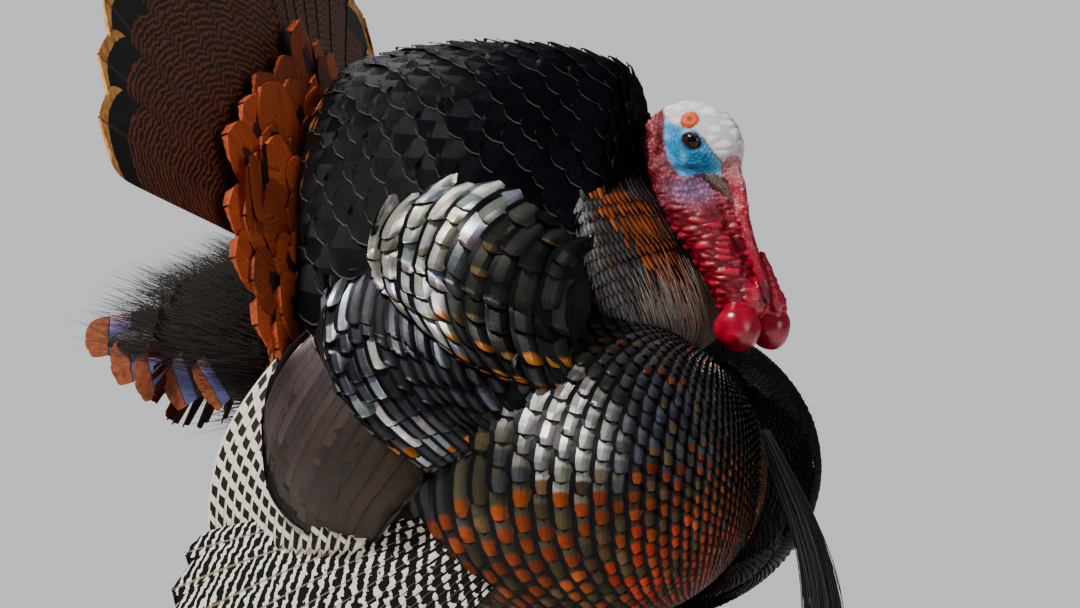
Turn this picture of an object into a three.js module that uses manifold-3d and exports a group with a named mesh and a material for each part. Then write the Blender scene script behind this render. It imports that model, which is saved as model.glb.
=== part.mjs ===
// A male wild turkey in full strut: a still, life-size model in separate named solids.
// Millimetres. +X is the way the bird faces, +Y is its left and +Z is up; it stands on z = 0.
import * as THREE from "three";
import { mergeVertices } from "three/addons/utils/BufferGeometryUtils.js";
import Module from "manifold-3d";

const wasm = await Module();
wasm.setup();

// ---------------------------------------------------------------- driving dimensions

const GAP = 0.6; // the clear space between neighbouring pieces
const FINEST = 0.25; // detail smaller than this is smoothed out of a piece once it is cut
const MIDLINE_GAP = 0.5; // the clear space at the cleft of the breast
const FLOOR = 0;

const TRUNK = { rear: -205, front: 140 }; // the ends of the trunk along X
const BREAST = { centre: [98, 80, 296], radii: [158, 128, 132] }; // one of the two lobes
const HEAD = { centre: [170, 0, 569], halfLength: 45, halfHeight: 37, halfWidth: 22 };
const EYE = { centre: [180, 17.5, 574], radius: 8.5 };
const TAIL = {
  base: [-142, 0, 450], // where the shafts of the fan would meet
  reach: 412, // from there to the tips
  inner: 60,
  lowest: 16, // degrees above level of the fan's lower edge
  leanBack: 13, // degrees that the fan leans back from upright
  sweepBack: 6.5, // degrees that its two sides sweep back
  feathers: 18,
  scallop: 15, // how far a tip's corners fall short of its middle
  thickness: 4,
};
const COVERTS = { reach: 222, inner: 48, lowest: -8, forward: 16, thickness: 13, feathers: 11, scallop: 14 };
const LEG = {
  y: 74, // how far each leg is from the middle plane
  hock: [-36, 150],
  ankle: [2, 20], // where the toes spread from, as x and z
  toeRadius: 7.5,
};
const TOES = {
  inner: { turn: 32, length: 62 },
  middle: { turn: 2, length: 84 },
  outer: { turn: -30, length: 66 },
  hind: { turn: 172, length: 34 },
};
const SPUR = { height: 62, length: 24 };

// ---------------------------------------------------------------- materials

const colours = {
  plumage: [0x2a2420, 0.45, 0.25],
  bronze: [0x6b4a34, 0.4, 0.35],
  silver: [0x8d8c86, 0.35, 0.4],
  brown: [0x4a3a33, 0.5, 0.1],
  barred: [0xb9b2a6, 0.6, 0],
  rufous: [0x9a4522, 0.6, 0],
  black: [0x14141a, 0.4, 0.2],
  bareSkin: [0xb01826, 0.45, 0],
  wattle: [0xc00c1c, 0.3, 0],
  crown: [0xd8d6d4, 0.55, 0],
  bill: [0x6d5a4c, 0.4, 0],
  eye: [0x1c0e0a, 0.05, 0],
  leg: [0x9c5c58, 0.6, 0],
  claw: [0x2b2422, 0.4, 0],
};
const finishes = Object.fromEntries(
  Object.entries(colours).map(([name, [color, roughness, metalness]]) => [
    name,
    new THREE.MeshStandardMaterial({ name, color, roughness, metalness }),
  ]),
);

// ---------------------------------------------------------------- forms

const point = (x, y, z) => new THREE.Vector3(x, y, z);
const radians = THREE.MathUtils.degToRad;
const leftward = point(0, 1, 0);

// A smooth function of t, from 0 to 1, through evenly spaced values.
function along(...values) {
  const last = values.length - 1;
  const at = (i) => values[THREE.MathUtils.clamp(i, 0, last)];
  return (t) => {
    const place = THREE.MathUtils.clamp(t, 0, 1) * last;
    const i = Math.min(Math.floor(place), last - 1);
    const f = place - i;
    const rise = (at(i + 1) - at(i - 1)) / 2;
    const nextRise = (at(i + 2) - at(i)) / 2;
    const gain = at(i + 1) - at(i);
    const bend = 3 * gain - 2 * rise - nextRise;
    const twist = rise + nextRise - 2 * gain;
    return at(i) + f * (rise + f * (bend + f * twist));
  };
}

// 1 along a form, falling to 0 as a quarter ellipse over a share of its length at each end.
function roundEnds(t, start, end) {
  const fromStart = Math.min(t / start, 1);
  const fromEnd = Math.min((1 - t) / end, 1);
  return Math.sqrt((1 - (1 - fromStart) ** 2) * (1 - (1 - fromEnd) ** 2));
}

// A solid from a closed geometry, facing out.
function solid(geometry) {
  geometry.deleteAttribute("normal");
  geometry.deleteAttribute("uv");
  const merged = mergeVertices(geometry, 1e-4);
  const vertProperties = new Float32Array(merged.attributes.position.array);
  const triVerts = new Uint32Array(merged.index.array);
  const made = new wasm.Manifold(new wasm.Mesh({ numProp: 3, vertProperties, triVerts }));
  if (made.volume() > 0) return made;
  return new wasm.Manifold(new wasm.Mesh({ numProp: 3, vertProperties, triVerts: triVerts.reverse() }));
}

// A closed form from a sphere's grid: pointAt(t, angle) runs from pole to pole and round.
function closedForm(sides, rings, pointAt) {
  const form = new THREE.SphereGeometry(1, sides, rings);
  const { position, uv } = form.attributes;
  for (let i = 0; i < position.count; i++) {
    const ring = Math.round((1 - uv.getY(i)) * rings);
    const side = Math.round(uv.getX(i) * sides) % sides;
    const t = (1 - Math.cos((Math.PI * ring) / rings)) / 2;
    const p = pointAt(t, (2 * Math.PI * side) / sides);
    position.setXYZ(i, p.x, p.y, p.z);
  }
  return solid(form);
}

// An ellipsoid, turned about Y by pitch and about Z by yaw, in degrees.
function ellipsoid(centre, radii, { sides = 12, rings = 9, pitch = 0, yaw = 0, roll = 0 } = {}) {
  const turn = new THREE.Euler(radians(roll), radians(pitch), radians(yaw), "ZYX");
  return closedForm(sides, rings, (t, angle) => {
    const ring = roundEnds(t, 0.5, 0.5);
    const p = point(
      radii[0] * ring * Math.cos(angle),
      radii[1] * ring * Math.sin(angle),
      radii[2] * (2 * t - 1),
    );
    return p.applyEuler(turn).add(point(...centre));
  });
}

// A tube along a smooth spine. Width is its half-width along across, and depth its half-depth.
function tube({ spine, across = leftward, width, depth = width, sides = 8, rings = 8, start = 0.2, end = 0.2 }) {
  const curve = new THREE.CatmullRomCurve3(spine.map((p) => point(...p)), false, "centripetal");
  return closedForm(sides, rings, (t, angle) => {
    const tangent = curve.getTangentAt(t);
    const deep = tangent.clone().cross(across).normalize();
    const wide = deep.clone().cross(tangent).normalize();
    const ring = roundEnds(t, start, end);
    return curve
      .getPointAt(t)
      .addScaledVector(wide, width(t) * ring * Math.cos(angle))
      .addScaledVector(deep, depth(t) * ring * Math.sin(angle));
  });
}

// A sheet with thickness: at(u, v, w) with u and v from 0 to 1 over it and w from -1 to 1 through it.
function sheet(columns, rows, at) {
  const form = new THREE.BoxGeometry(1, 1, 2, columns, rows, 1);
  const { position } = form.attributes;
  for (let i = 0; i < position.count; i++) {
    const p = at(position.getX(i) + 0.5, position.getY(i) + 0.5, position.getZ(i));
    position.setXYZ(i, p.x, p.y, p.z);
  }
  return solid(form);
}

// A block that holds everything on one side of a plane, for cutting.
function block(low, high) {
  const size = high.map((value, k) => value - low[k]);
  const middle = high.map((value, k) => (value + low[k]) / 2);
  return solid(new THREE.BoxGeometry(...size).translate(...middle));
}

// ---------------------------------------------------------------- joining and cutting

// The triangles of a solid as a three.js geometry.
function geometryOf(made) {
  const mesh = made.getMesh();
  const places = new Float32Array(mesh.numVert * 3);
  for (let i = 0; i < mesh.numVert; i++) {
    places.set(mesh.vertProperties.subarray(i * mesh.numProp, i * mesh.numProp + 3), i * 3);
  }
  const geometry = new THREE.BufferGeometry();
  geometry.setAttribute("position", new THREE.BufferAttribute(places, 3));
  geometry.setIndex(new THREE.BufferAttribute(new Uint32Array(mesh.triVerts), 1));
  return geometry;
}

// The solid with its skin moved out by a distance.
function grown(made, distance) {
  const geometry = geometryOf(made);
  geometry.computeVertexNormals();
  const { position, normal } = geometry.attributes;
  for (let i = 0; i < position.count; i++) {
    position.setXYZ(
      i,
      position.getX(i) + normal.getX(i) * distance,
      position.getY(i) + normal.getY(i) * distance,
      position.getZ(i) + normal.getZ(i) * distance,
    );
  }
  return solid(geometry);
}

const mirrored = (made) => made.mirror([0, 1, 0]);

function largestPiece(made) {
  return made.decompose().reduce((best, next) => (next.volume() > best.volume() ? next : best));
}

function boxesMeet(a, b) {
  const [first, second] = [a.boundingBox(), b.boundingBox()];
  return [0, 1, 2].every((k) => first.min[k] < second.max[k] + 1 && second.min[k] < first.max[k] + 1);
}

const bird = new THREE.Group();
const placed = [];
const everywhere = 2000;
const aboveFloor = block([-everywhere, -everywhere, FLOOR], [everywhere, everywhere, everywhere]);

// Adds a node. What was placed before it keeps its shape, and this one is cut back from it.
function place(name, finish, made) {
  let shape = made.intersect(aboveFloor);
  for (const other of placed) {
    if (boxesMeet(shape, other.shape)) shape = shape.subtract(other.cutter);
  }
  shape = largestPiece(shape.simplify(FINEST));
  placed.push({ shape, cutter: grown(made, GAP) });
  const mesh = new THREE.Mesh(geometryOf(shape), finishes[finish]);
  mesh.name = name;
  bird.add(mesh);
}

// Adds a right-hand piece, made at negative Y, and its mirror image.
function placePair(name, finish, right) {
  place(name + "_right", finish, right);
  place(name + "_left", finish, mirrored(right));
}

// ---------------------------------------------------------------- head

function eye() {
  const [x, y, z] = EYE.centre;
  return ellipsoid([x, -y, z], [EYE.radius, EYE.radius * 0.85, EYE.radius], { sides: 10, rings: 6 });
}

// The bill's two halves meet along a line from the gape to just behind the hooked tip.
function upperBill() {
  return tube({
    spine: [[176, 0, 547], [192, 0, 541], [204, 0, 530], [210, 0, 515]],
    width: along(9.5, 8.5, 5.5, 2),
    depth: along(7, 7, 4.5, 1.6),
    start: 0.1,
    end: 0.3,
  });
}

function lowerBill() {
  return tube({
    spine: [[170, 0, 540], [184, 0, 531], [196, 0, 521], [203, 0, 514]],
    width: along(8.5, 7.5, 5, 2),
    depth: along(4.5, 4.5, 3.5, 1.4),
    start: 0.1,
    end: 0.3,
  });
}

// The soft snood grows from the forehead and hangs across the right of the bill.
function snood() {
  return tube({
    spine: [[203, -2, 556], [216, -9, 530], [222, -13, 502], [229, -14, 479], [238, -14, 455], [242, -12, 436]],
    width: along(8.5, 8, 6, 5.5, 4.5, 3.5),
    depth: along(9, 8, 6, 5.5, 4.5, 3.5),
    sides: 8,
    rings: 9,
    end: 0.12,
    start: 0.08,
  });
}

// A long low skull, drawn out towards the bill and throat, fullest at the cheeks.
function head() {
  const [x, y, z] = HEAD.centre;
  return closedForm(14, 9, (t, angle) => {
    const ring = roundEnds(t, 0.5, 0.5);
    const forward = Math.cos(angle) * ring;
    const sideways = Math.sin(angle) * ring;
    const upward = 2 * t - 1;
    const towardsThroat = Math.max(0, forward * 0.35 - upward * 0.94);
    const drawnOut = 1 + 0.14 * towardsThroat ** 2;
    const crownTaper = 1 - 0.16 * Math.max(0, upward) ** 2;
    return point(
      x + HEAD.halfLength * forward * drawnOut,
      y + HEAD.halfWidth * sideways * crownTaper,
      z + HEAD.halfHeight * upward * drawnOut,
    );
  });
}

// A strip of small caruncles runs up the throat from the left bulb.
function throatCaruncles() {
  return tube({
    spine: [[230, 1, 480], [236, 2, 462], [242, 3, 444], [245, 5, 428]],
    width: along(4, 6, 7, 7),
    depth: along(4, 5.5, 6, 6),
    sides: 6,
    rings: 5,
  });
}

// The major caruncles: two full bulbs at the foot of the bare neck.
function wattleRight() {
  return ellipsoid([217, -19.5, 415], [20, 19, 20.5], { sides: 12, rings: 8 });
}

function wattleLeft() {
  return ellipsoid([235, 15.5, 416], [17, 16.5, 20], { sides: 12, rings: 8 });
}

function bareNeck() {
  return tube({
    spine: [[146, 0, 566], [158, 0, 540], [175, 0, 512], [190, 0, 487], [206, 0, 458], [219, 1, 428]],
    width: along(21, 25, 25, 25, 25, 23),
    depth: along(24, 26, 26, 22, 21, 20),
    sides: 10,
    rings: 7,
    start: 0.12,
    end: 0.1,
  });
}

// The feathered neck, blown out like a ruff over the breast.
function collar() {
  return tube({
    spine: [[140, 0, 386], [130, 0, 430], [112, 0, 480], [94, 0, 526], [90, 0, 572], [116, 0, 624]],
    width: along(84, 100, 104, 92, 64, 26),
    depth: along(52, 54, 51, 46, 38, 16),
    sides: 16,
    rings: 9,
    start: 0.14,
    end: 0.16,
  });
}

// ---------------------------------------------------------------- breast and trunk

function breastRight() {
  const [x, y, z] = BREAST.centre;
  const lobe = ellipsoid([x, -y, z], BREAST.radii, { sides: 18, rings: 13 });
  return lobe.intersect(block([-everywhere, -everywhere, -everywhere], [everywhere, -MIDLINE_GAP / 2, everywhere]));
}

function beard() {
  return tube({
    spine: [[236, 0, 322], [252, 0, 288], [272, 0, 248], [284, 0, 204], [285, 0, 158], [280, 0, 108]],
    width: along(5, 8, 11, 13, 12, 8),
    depth: along(6, 10, 13, 15, 14, 9),
    sides: 8,
    rings: 9,
    start: 0.1,
    end: 0.12,
  });
}

// The trunk with its raised back feathers, in rings across X.
function trunk() {
  const top = along(630, 640, 647, 656, 660, 660, 656, 646, 630);
  const bottom = along(260, 240, 195, 165, 152, 152, 158, 172, 190);
  const halfWidth = along(120, 138, 158, 172, 180, 175, 155, 122, 94);
  const waist = along(400, 370, 345, 335, 330, 335, 345, 370, 400);
  const shoulderTaper = 1.3; // above the waist the rings narrow towards the spine
  const bellyFullness = 0.92;
  return closedForm(18, 12, (t, angle) => {
    const across = Math.cos(angle);
    const upward = Math.sin(angle);
    const ring = roundEnds(t, 0.25, 0.08);
    const above = upward >= 0;
    const height = above ? top(t) - waist(t) : waist(t) - bottom(t);
    const shape = above ? shoulderTaper : bellyFullness;
    return point(
      THREE.MathUtils.lerp(TRUNK.rear, TRUNK.front, t),
      halfWidth(t) * ring * Math.sign(across) * Math.abs(across) ** shape,
      waist(t) + height * ring * upward,
    );
  });
}

// ---------------------------------------------------------------- wings

// Long feathers laid over the shoulder, lifted from the body.
function scapulars() {
  return ellipsoid([40, -146, 458], [104, 46, 76], { roll: 10, pitch: 24 });
}

function wingCoverts() {
  return ellipsoid([2, -162, 388], [126, 44, 94], { sides: 14, roll: -4, pitch: 12 });
}

function tertials() {
  return ellipsoid([-70, -164, 328], [78, 36, 94], { pitch: -20, yaw: 10 });
}

// A fan of flight feathers, from its hidden roots to its tips, wrapped round the body's side.
function flightFan({ rootFront, rootRear, tipFront, tipRear, bulge, bow = 0, thickness, columns, rows }) {
  const [a, b, c, d] = [rootFront, rootRear, tipFront, tipRear].map((p) => point(...p));
  return sheet(columns, rows, (u, v, w) => {
    const root = a.clone().lerp(b, u);
    const tip = c.clone().lerp(d, u);
    const p = root.lerp(tip, v);
    const middle = Math.sin(Math.PI * u) * 0.5 + Math.sin(Math.PI * v) * 0.5;
    p.x -= bow * u * Math.sin(Math.PI * v);
    p.y -= bulge * middle + w * thickness * (0.35 + 0.65 * Math.sin(Math.PI * THREE.MathUtils.clamp(u, 0.08, 0.92)));
    return p;
  });
}

function secondaries() {
  return flightFan({
    rootFront: [-22, -150, 330],
    rootRear: [-134, -112, 420],
    tipFront: [-70, -172, 226],
    tipRear: [-210, -140, 228],
    bulge: 22,
    bow: 24,
    thickness: 5,
    columns: 5,
    rows: 4,
  });
}

function primaries() {
  return flightFan({
    rootFront: [40, -160, 236],
    rootRear: [-182, -138, 262],
    tipFront: [-112, -178, -3],
    tipRear: [-276, -166, -3],
    bulge: 16,
    thickness: 4,
    columns: 5,
    rows: 4,
  });
}

// ---------------------------------------------------------------- tail

// A point of a fan of feathers about the tail's base, r out from it and turned up by angle.
function fanPoint(r, angle, forward) {
  const [x, y, z] = TAIL.base;
  const side = Math.cos(angle);
  const up = Math.sin(angle);
  const back = Math.abs(side) * Math.tan(radians(TAIL.sweepBack)) + up * Math.tan(radians(TAIL.leanBack));
  return point(x - r * back + forward, y + r * side, z + r * up * Math.cos(radians(TAIL.leanBack)));
}

// A fan between two angles, with a rounded tip for each feather.
function featherFan({ reach, inner, from, to, feathers, scallop, thickness, forward, rows, ridge }) {
  const stepsPerFeather = 3;
  const steps = feathers * stepsPerFeather;
  return sheet(steps, rows, (u, v, w) => {
    const place = ((u * feathers) % 1) * 2 - 1; // -1 to 1 across a feather
    const onEdge = Math.abs(Math.abs(place) - 1) < 1e-6;
    const tip = reach - scallop * (onEdge ? 1 : place * place * 0.4);
    const r = THREE.MathUtils.lerp(inner, tip, v);
    const p = fanPoint(r, radians(THREE.MathUtils.lerp(from, to, u)), forward);
    p.x += ridge * (onEdge ? 0 : 1) + (w * thickness * (1.15 - 0.6 * v)) / 2;
    return p;
  });
}

// The fan's feathers are parted into its right side, its middle and its left side.
function rectrices(first, count) {
  const spread = 180 - 2 * TAIL.lowest;
  const step = spread / TAIL.feathers;
  const parting = 0.06; // degrees left clear at each end of a part
  const from = -180 + TAIL.lowest + first * step;
  return featherFan({
    reach: TAIL.reach,
    inner: TAIL.inner,
    from: -from - parting,
    to: -(from + count * step) + parting,
    feathers: count,
    scallop: TAIL.scallop,
    thickness: TAIL.thickness,
    forward: 0,
    rows: 2,
    ridge: 1.5,
  });
}

function tailCoverts() {
  return featherFan({
    reach: COVERTS.reach,
    inner: COVERTS.inner,
    from: 180 - COVERTS.lowest,
    to: COVERTS.lowest,
    feathers: COVERTS.feathers,
    scallop: COVERTS.scallop,
    thickness: COVERTS.thickness,
    forward: COVERTS.forward,
    rows: 2,
    ridge: 2.5,
  });
}

// The undertail feathers stand out behind in a flattened cone, with the down of the vent over them.
function undertailCoverts() {
  return tube({
    spine: [[-165, 0, 398], [-230, 0, 392], [-300, 0, 400], [-372, 0, 402]],
    width: along(118, 122, 110, 66),
    depth: along(78, 58, 38, 24),
    sides: 12,
    rings: 7,
    start: 0.1,
    end: 0.2,
  });
}

// ---------------------------------------------------------------- legs

function thigh() {
  const [x, z] = LEG.hock;
  return tube({
    spine: [[26, -LEG.y + 2, 262], [6, -LEG.y, 208], [x + 8, -LEG.y, z + 22], [x, -LEG.y, z - 4]],
    width: along(46, 38, 20, 10),
    depth: along(54, 42, 21, 11),
    sides: 10,
    rings: 6,
    start: 0.25,
    end: 0.12,
  });
}

function shank() {
  const [hockX, hockZ] = LEG.hock;
  const [ankleX, ankleZ] = LEG.ankle;
  return tube({
    spine: [
      [hockX - 1, -LEG.y, hockZ + 4],
      [hockX + 9, -LEG.y, hockZ - 34],
      [ankleX - 14, -LEG.y, ankleZ + 46],
      [ankleX, -LEG.y, ankleZ - 4],
    ],
    width: along(9.5, 7, 6.5, 9),
    depth: along(10.5, 8, 7.5, 10),
    rings: 7,
    start: 0.08,
    end: 0.1,
  });
}

function toeSpine({ turn, length }) {
  const [x, z] = LEG.ankle;
  const [cos, sin] = [Math.cos(radians(turn)), Math.sin(radians(turn))];
  const knuckle = TOES.middle.length * 0.3;
  const reach = (share) => [x + share * length * cos, -LEG.y + share * length * sin];
  const low = LEG.toeRadius - 1.3; // the pads are pressed a little flat
  return [
    [x, -LEG.y, z - 6],
    [...reach(Math.min(0.4, knuckle / length)), low + 1.5],
    [...reach(0.72), low - 0.5],
    [...reach(1), low - 1.2],
  ];
}

function foot() {
  const [x, z] = LEG.ankle;
  const ankle = ellipsoid([x, -LEG.y, z - 8], [11, 10, 9], { sides: 6, rings: 5 });
  return Object.values(TOES)
    .map((toe) =>
      tube({
        spine: toeSpine(toe),
        width: along(8.5, 7, 6.6, 5.2),
        depth: along(9, LEG.toeRadius, LEG.toeRadius, 5.6),
        sides: 6,
        rings: 4,
        start: 0.06,
        end: 0.12,
      }),
    )
    .reduce((all, toe) => all.add(toe), ankle);
}

function claw({ turn, length }) {
  const [x] = LEG.ankle;
  const [cos, sin] = [Math.cos(radians(turn)), Math.sin(radians(turn))];
  const at = (reach, z) => [x + reach * cos, -LEG.y + reach * sin, z];
  return tube({
    spine: [at(length - 3, 6), at(length + 7, 6.4), at(length + 16, 1.2)],
    width: along(3.6, 3.2, 0.8),
    sides: 6,
    rings: 5,
    start: 0.2,
    end: 0.25,
  });
}

function spur() {
  const [ankleX] = LEG.ankle;
  const base = [ankleX - 22, -LEG.y + 4, SPUR.height];
  return tube({
    spine: [
      base,
      [base[0] - SPUR.length * 0.6, base[1] + 5, base[2] + 1],
      [base[0] - SPUR.length, base[1] + 8, base[2] + 9],
    ],
    width: along(4.6, 3, 0.8),
    sides: 6,
    rings: 5,
    start: 0.15,
    end: 0.3,
  });
}

// ---------------------------------------------------------------- the bird, from its finest pieces out

placePair("eye", "eye", eye());
place("bill_upper", "bill", upperBill());
place("bill_lower", "bill", lowerBill());
place("snood", "bareSkin", snood());
place("wattle_right", "wattle", wattleRight());
place("wattle_left", "wattle", wattleLeft());
for (const [name, toe] of Object.entries(TOES)) placePair("claw_" + name, "claw", claw(toe));
placePair("spur", "claw", spur());
place("throat_caruncles", "wattle", throatCaruncles());
place("head", "crown", head());
place("trunk", "plumage", trunk());
place("neck_bare", "bareSkin", bareNeck());
placePair("foot", "leg", foot());
placePair("shank", "leg", shank());
placePair("thigh", "brown", thigh());
place("neck_feathered", "bronze", collar());
placePair("breast", "bronze", breastRight());
place("beard", "black", beard());
placePair("scapulars", "silver", scapulars());
placePair("wing_coverts", "silver", wingCoverts());
placePair("wing_tertials", "brown", tertials());
placePair("wing_secondaries", "barred", secondaries());
placePair("wing_primaries", "barred", primaries());
place("undertail_coverts", "brown", undertailCoverts());
place("tail_coverts", "rufous", tailCoverts());
place("tail_fan_right", "rufous", rectrices(0, 6));
place("tail_fan_middle", "rufous", rectrices(6, 6));
place("tail_fan_left", "rufous", rectrices(12, 6));

// The origin is on the floor, under the middle of the bird.
const bounds = new THREE.Box3().setFromObject(bird, true);
const middle = bounds.getCenter(new THREE.Vector3());
bird.position.set(-middle.x, -middle.y, -bounds.min.z);

export default bird;
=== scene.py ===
import math

import bpy
import numpy as np
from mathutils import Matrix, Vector, noise


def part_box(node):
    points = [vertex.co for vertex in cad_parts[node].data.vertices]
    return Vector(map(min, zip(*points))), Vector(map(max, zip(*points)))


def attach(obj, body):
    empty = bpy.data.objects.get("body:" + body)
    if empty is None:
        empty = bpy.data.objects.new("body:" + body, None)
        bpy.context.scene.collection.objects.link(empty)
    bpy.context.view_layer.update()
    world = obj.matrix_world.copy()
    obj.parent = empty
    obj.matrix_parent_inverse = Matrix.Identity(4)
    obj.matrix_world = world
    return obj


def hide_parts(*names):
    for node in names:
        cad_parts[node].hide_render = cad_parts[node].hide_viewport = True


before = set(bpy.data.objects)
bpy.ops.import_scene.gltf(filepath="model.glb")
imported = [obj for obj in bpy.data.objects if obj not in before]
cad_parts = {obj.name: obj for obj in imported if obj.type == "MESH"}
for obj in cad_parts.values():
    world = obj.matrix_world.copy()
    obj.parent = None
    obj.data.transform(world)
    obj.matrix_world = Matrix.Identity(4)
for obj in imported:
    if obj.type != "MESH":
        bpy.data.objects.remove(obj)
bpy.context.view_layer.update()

# ---------------------------------------------------------------- units and small helpers

# Lengths below are in millimetres in the bird's own frame, like those of its solids:
# X forward, Y to its left, Z up, with the floor at 0. metres() puts them in the row's frame.
MM = 0.001
eye_low, eye_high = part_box("eye_right")
SHIFT_X = (eye_low[0] + eye_high[0]) / 2 / MM - 180.0
rng = np.random.default_rng(7)


def metres(p):
    return (np.asarray(p, float) + np.array([SHIFT_X, 0.0, 0.0])) * MM


def unit(v):
    return v / np.maximum(np.linalg.norm(v, axis=-1, keepdims=True), 1e-9)


def along(*values):
    """A smooth function of t, from 0 to 1, through evenly spaced values."""
    v = np.array(values, float)
    last = len(v) - 1

    def at(t):
        place = np.clip(t, 0, 1) * last
        i = np.minimum(place.astype(int), last - 1)
        f = place - i
        before, here = v[np.maximum(i - 1, 0)], v[i]
        ahead, after = v[i + 1], v[np.minimum(i + 2, last)]
        rise, next_rise, gain = (ahead - before) / 2, (after - here) / 2, ahead - here
        bend, twist = 3 * gain - 2 * rise - next_rise, rise + next_rise - 2 * gain
        return here + f * (rise + f * (bend + f * twist))

    return lambda t: at(np.asarray(t, float))


def basis(n, t):
    """The weights of n evenly spaced values at t, which may lie a little outside 0 to 1."""
    place = np.clip(t, -0.1, 1.1) * (n - 1)
    i = np.clip(place.astype(int), 0, n - 2)
    f = (place - i)[..., None]
    v = np.eye(n)
    before, here = v[np.maximum(i - 1, 0)], v[i]
    ahead, after = v[i + 1], v[np.minimum(i + 2, n - 1)]
    rise, next_rise, gain = (ahead - before) / 2, (after - here) / 2, ahead - here
    bend, twist = 3 * gain - 2 * rise - next_rise, rise + next_rise - 2 * gain
    return here + f * (rise + f * (bend + f * twist))


def round_ends(t, start, end):
    from_start = np.minimum(t / start, 1)
    from_end = np.minimum((1 - t) / end, 1)
    full = (1 - (1 - from_start) ** 2) * (1 - (1 - from_end) ** 2)
    return np.sqrt(np.clip(full, 0, 1))


def smooth_step(x, low, high):
    t = np.clip((x - low) / (high - low), 0, 1)
    return t * t * (3 - 2 * t)


def mix(a, b, t):
    return a + (b - a) * t


def turning(pitch=0, yaw=0, roll=0):
    """The same turn as the solids' own: roll about X, then pitch about Y, then yaw about Z."""
    p, y, r = (math.radians(v) for v in (pitch, yaw, roll))
    about_x = np.array([[1, 0, 0], [0, math.cos(r), -math.sin(r)], [0, math.sin(r), math.cos(r)]])
    about_y = np.array([[math.cos(p), 0, math.sin(p)], [0, 1, 0], [-math.sin(p), 0, math.cos(p)]])
    about_z = np.array([[math.cos(y), -math.sin(y), 0], [math.sin(y), math.cos(y), 0], [0, 0, 1]])
    return about_z @ about_y @ about_x


# ---------------------------------------------------------------- the bird's forms


class Ellipsoid:
    def __init__(self, centre, radii, **turn):
        self.centre, self.radii, self.turn = np.array(centre, float), np.array(radii, float), turning(**turn)

    def towards(self, q):
        """The surface point in the direction of the unit vectors q of the form's own frame."""
        return self.centre + (q * self.radii) @ self.turn.T

    def local(self, p):
        return unit(((np.asarray(p, float) - self.centre) @ self.turn) / self.radii)

    def point(self, t, angle):
        t, angle = np.broadcast_arrays(t, angle)
        ring = np.sqrt(np.clip(1 - (2 * t - 1) ** 2, 0, 1))
        return self.towards(np.stack([ring * np.cos(angle), ring * np.sin(angle), 2 * t - 1], -1))


class Tube:
    def __init__(self, spine, width, depth, start=0.2, end=0.2):
        self.spine = [along(*axis) for axis in zip(*spine)]
        self.width, self.depth, self.start, self.end = width, depth, start, end

    def middle(self, t):
        return np.stack([axis(t) for axis in self.spine], -1)

    def point(self, t, angle):
        t, angle = np.broadcast_arrays(np.asarray(t, float), np.asarray(angle, float))
        tangent = unit(self.middle(np.clip(t + 0.01, 0, 1)) - self.middle(np.clip(t - 0.01, 0, 1)))
        deep = unit(np.cross(tangent, [0.0, 1.0, 0.0]))
        wide = np.cross(deep, tangent)
        ring = round_ends(t, self.start, self.end)
        across = (self.width(t) * ring * np.cos(angle))[..., None] * wide
        return self.middle(t) + across + (self.depth(t) * ring * np.sin(angle))[..., None] * deep


class Trunk:
    rear, front = -205.0, 140.0
    top = staticmethod(along(630, 640, 647, 656, 660, 660, 656, 646, 630))
    bottom = staticmethod(along(260, 240, 195, 165, 152, 152, 158, 172, 190))
    half_width = staticmethod(along(120, 138, 158, 172, 180, 175, 155, 122, 94))
    waist = staticmethod(along(400, 370, 345, 335, 330, 335, 345, 370, 400))

    def point(self, t, angle):
        t, angle = np.broadcast_arrays(np.asarray(t, float), np.asarray(angle, float))
        across, upward = np.cos(angle), np.sin(angle)
        ring = round_ends(t, 0.25, 0.08)
        above = upward >= 0
        height = np.where(above, self.top(t) - self.waist(t), self.waist(t) - self.bottom(t))
        width = np.sign(across) * np.abs(across) ** np.where(above, 1.3, 0.92)
        y = self.half_width(t) * ring * width
        return np.stack([mix(self.rear, self.front, t), y, self.waist(t) + height * ring * upward], -1)


BREAST = Ellipsoid([98, -80, 296], [158, 128, 132])
HEAD_CENTRE = np.array([170.0, 0.0, 569.0])
EYE_CENTRE = np.array([176.5, -17.7, 572.5])
EYE_RADIUS = 8.5
COLLAR = Tube(
    [[140, 0, 386], [130, 0, 430], [112, 0, 480], [94, 0, 526], [90, 0, 572], [116, 0, 624]],
    along(84, 100, 104, 92, 64, 26), along(52, 54, 51, 46, 38, 16), 0.14, 0.16)
NECK = Tube(
    [[146, 0, 566], [158, 0, 540], [175, 0, 512], [190, 0, 487], [206, 0, 458], [219, 1, 428]],
    along(21, 25, 25, 25, 25, 23), along(24, 26, 26, 22, 21, 20), 0.12, 0.1)
SNOOD = Tube(
    [[204, -1, 558], [213, -8, 532], [221, -13, 502], [228, -14, 479], [237, -14, 455], [241, -12, 436]],
    along(7.5, 6.4, 5.4, 5.0, 4.4, 3.5), along(8.0, 6.6, 5.4, 5.0, 4.4, 3.5), 0.06, 0.12)
THROAT = Tube(
    [[230, 1, 480], [236, 2, 462], [242, 3, 444], [245, 5, 428]],
    along(4, 6, 7, 7), along(4, 5.5, 6, 6))
WATTLE_RIGHT = Ellipsoid([217, -19.5, 415], [20, 19, 20.5])
WATTLE_LEFT = Ellipsoid([235, 15.5, 416], [17, 16.5, 20])
SCAPULARS = Ellipsoid([40, -146, 458], [104, 46, 76], roll=10, pitch=24)
COVERTS = Ellipsoid([2, -162, 388], [126, 44, 94], roll=-4, pitch=12)
TERTIALS = Ellipsoid([-70, -164, 328], [78, 36, 94], pitch=-20, yaw=10)
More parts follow.
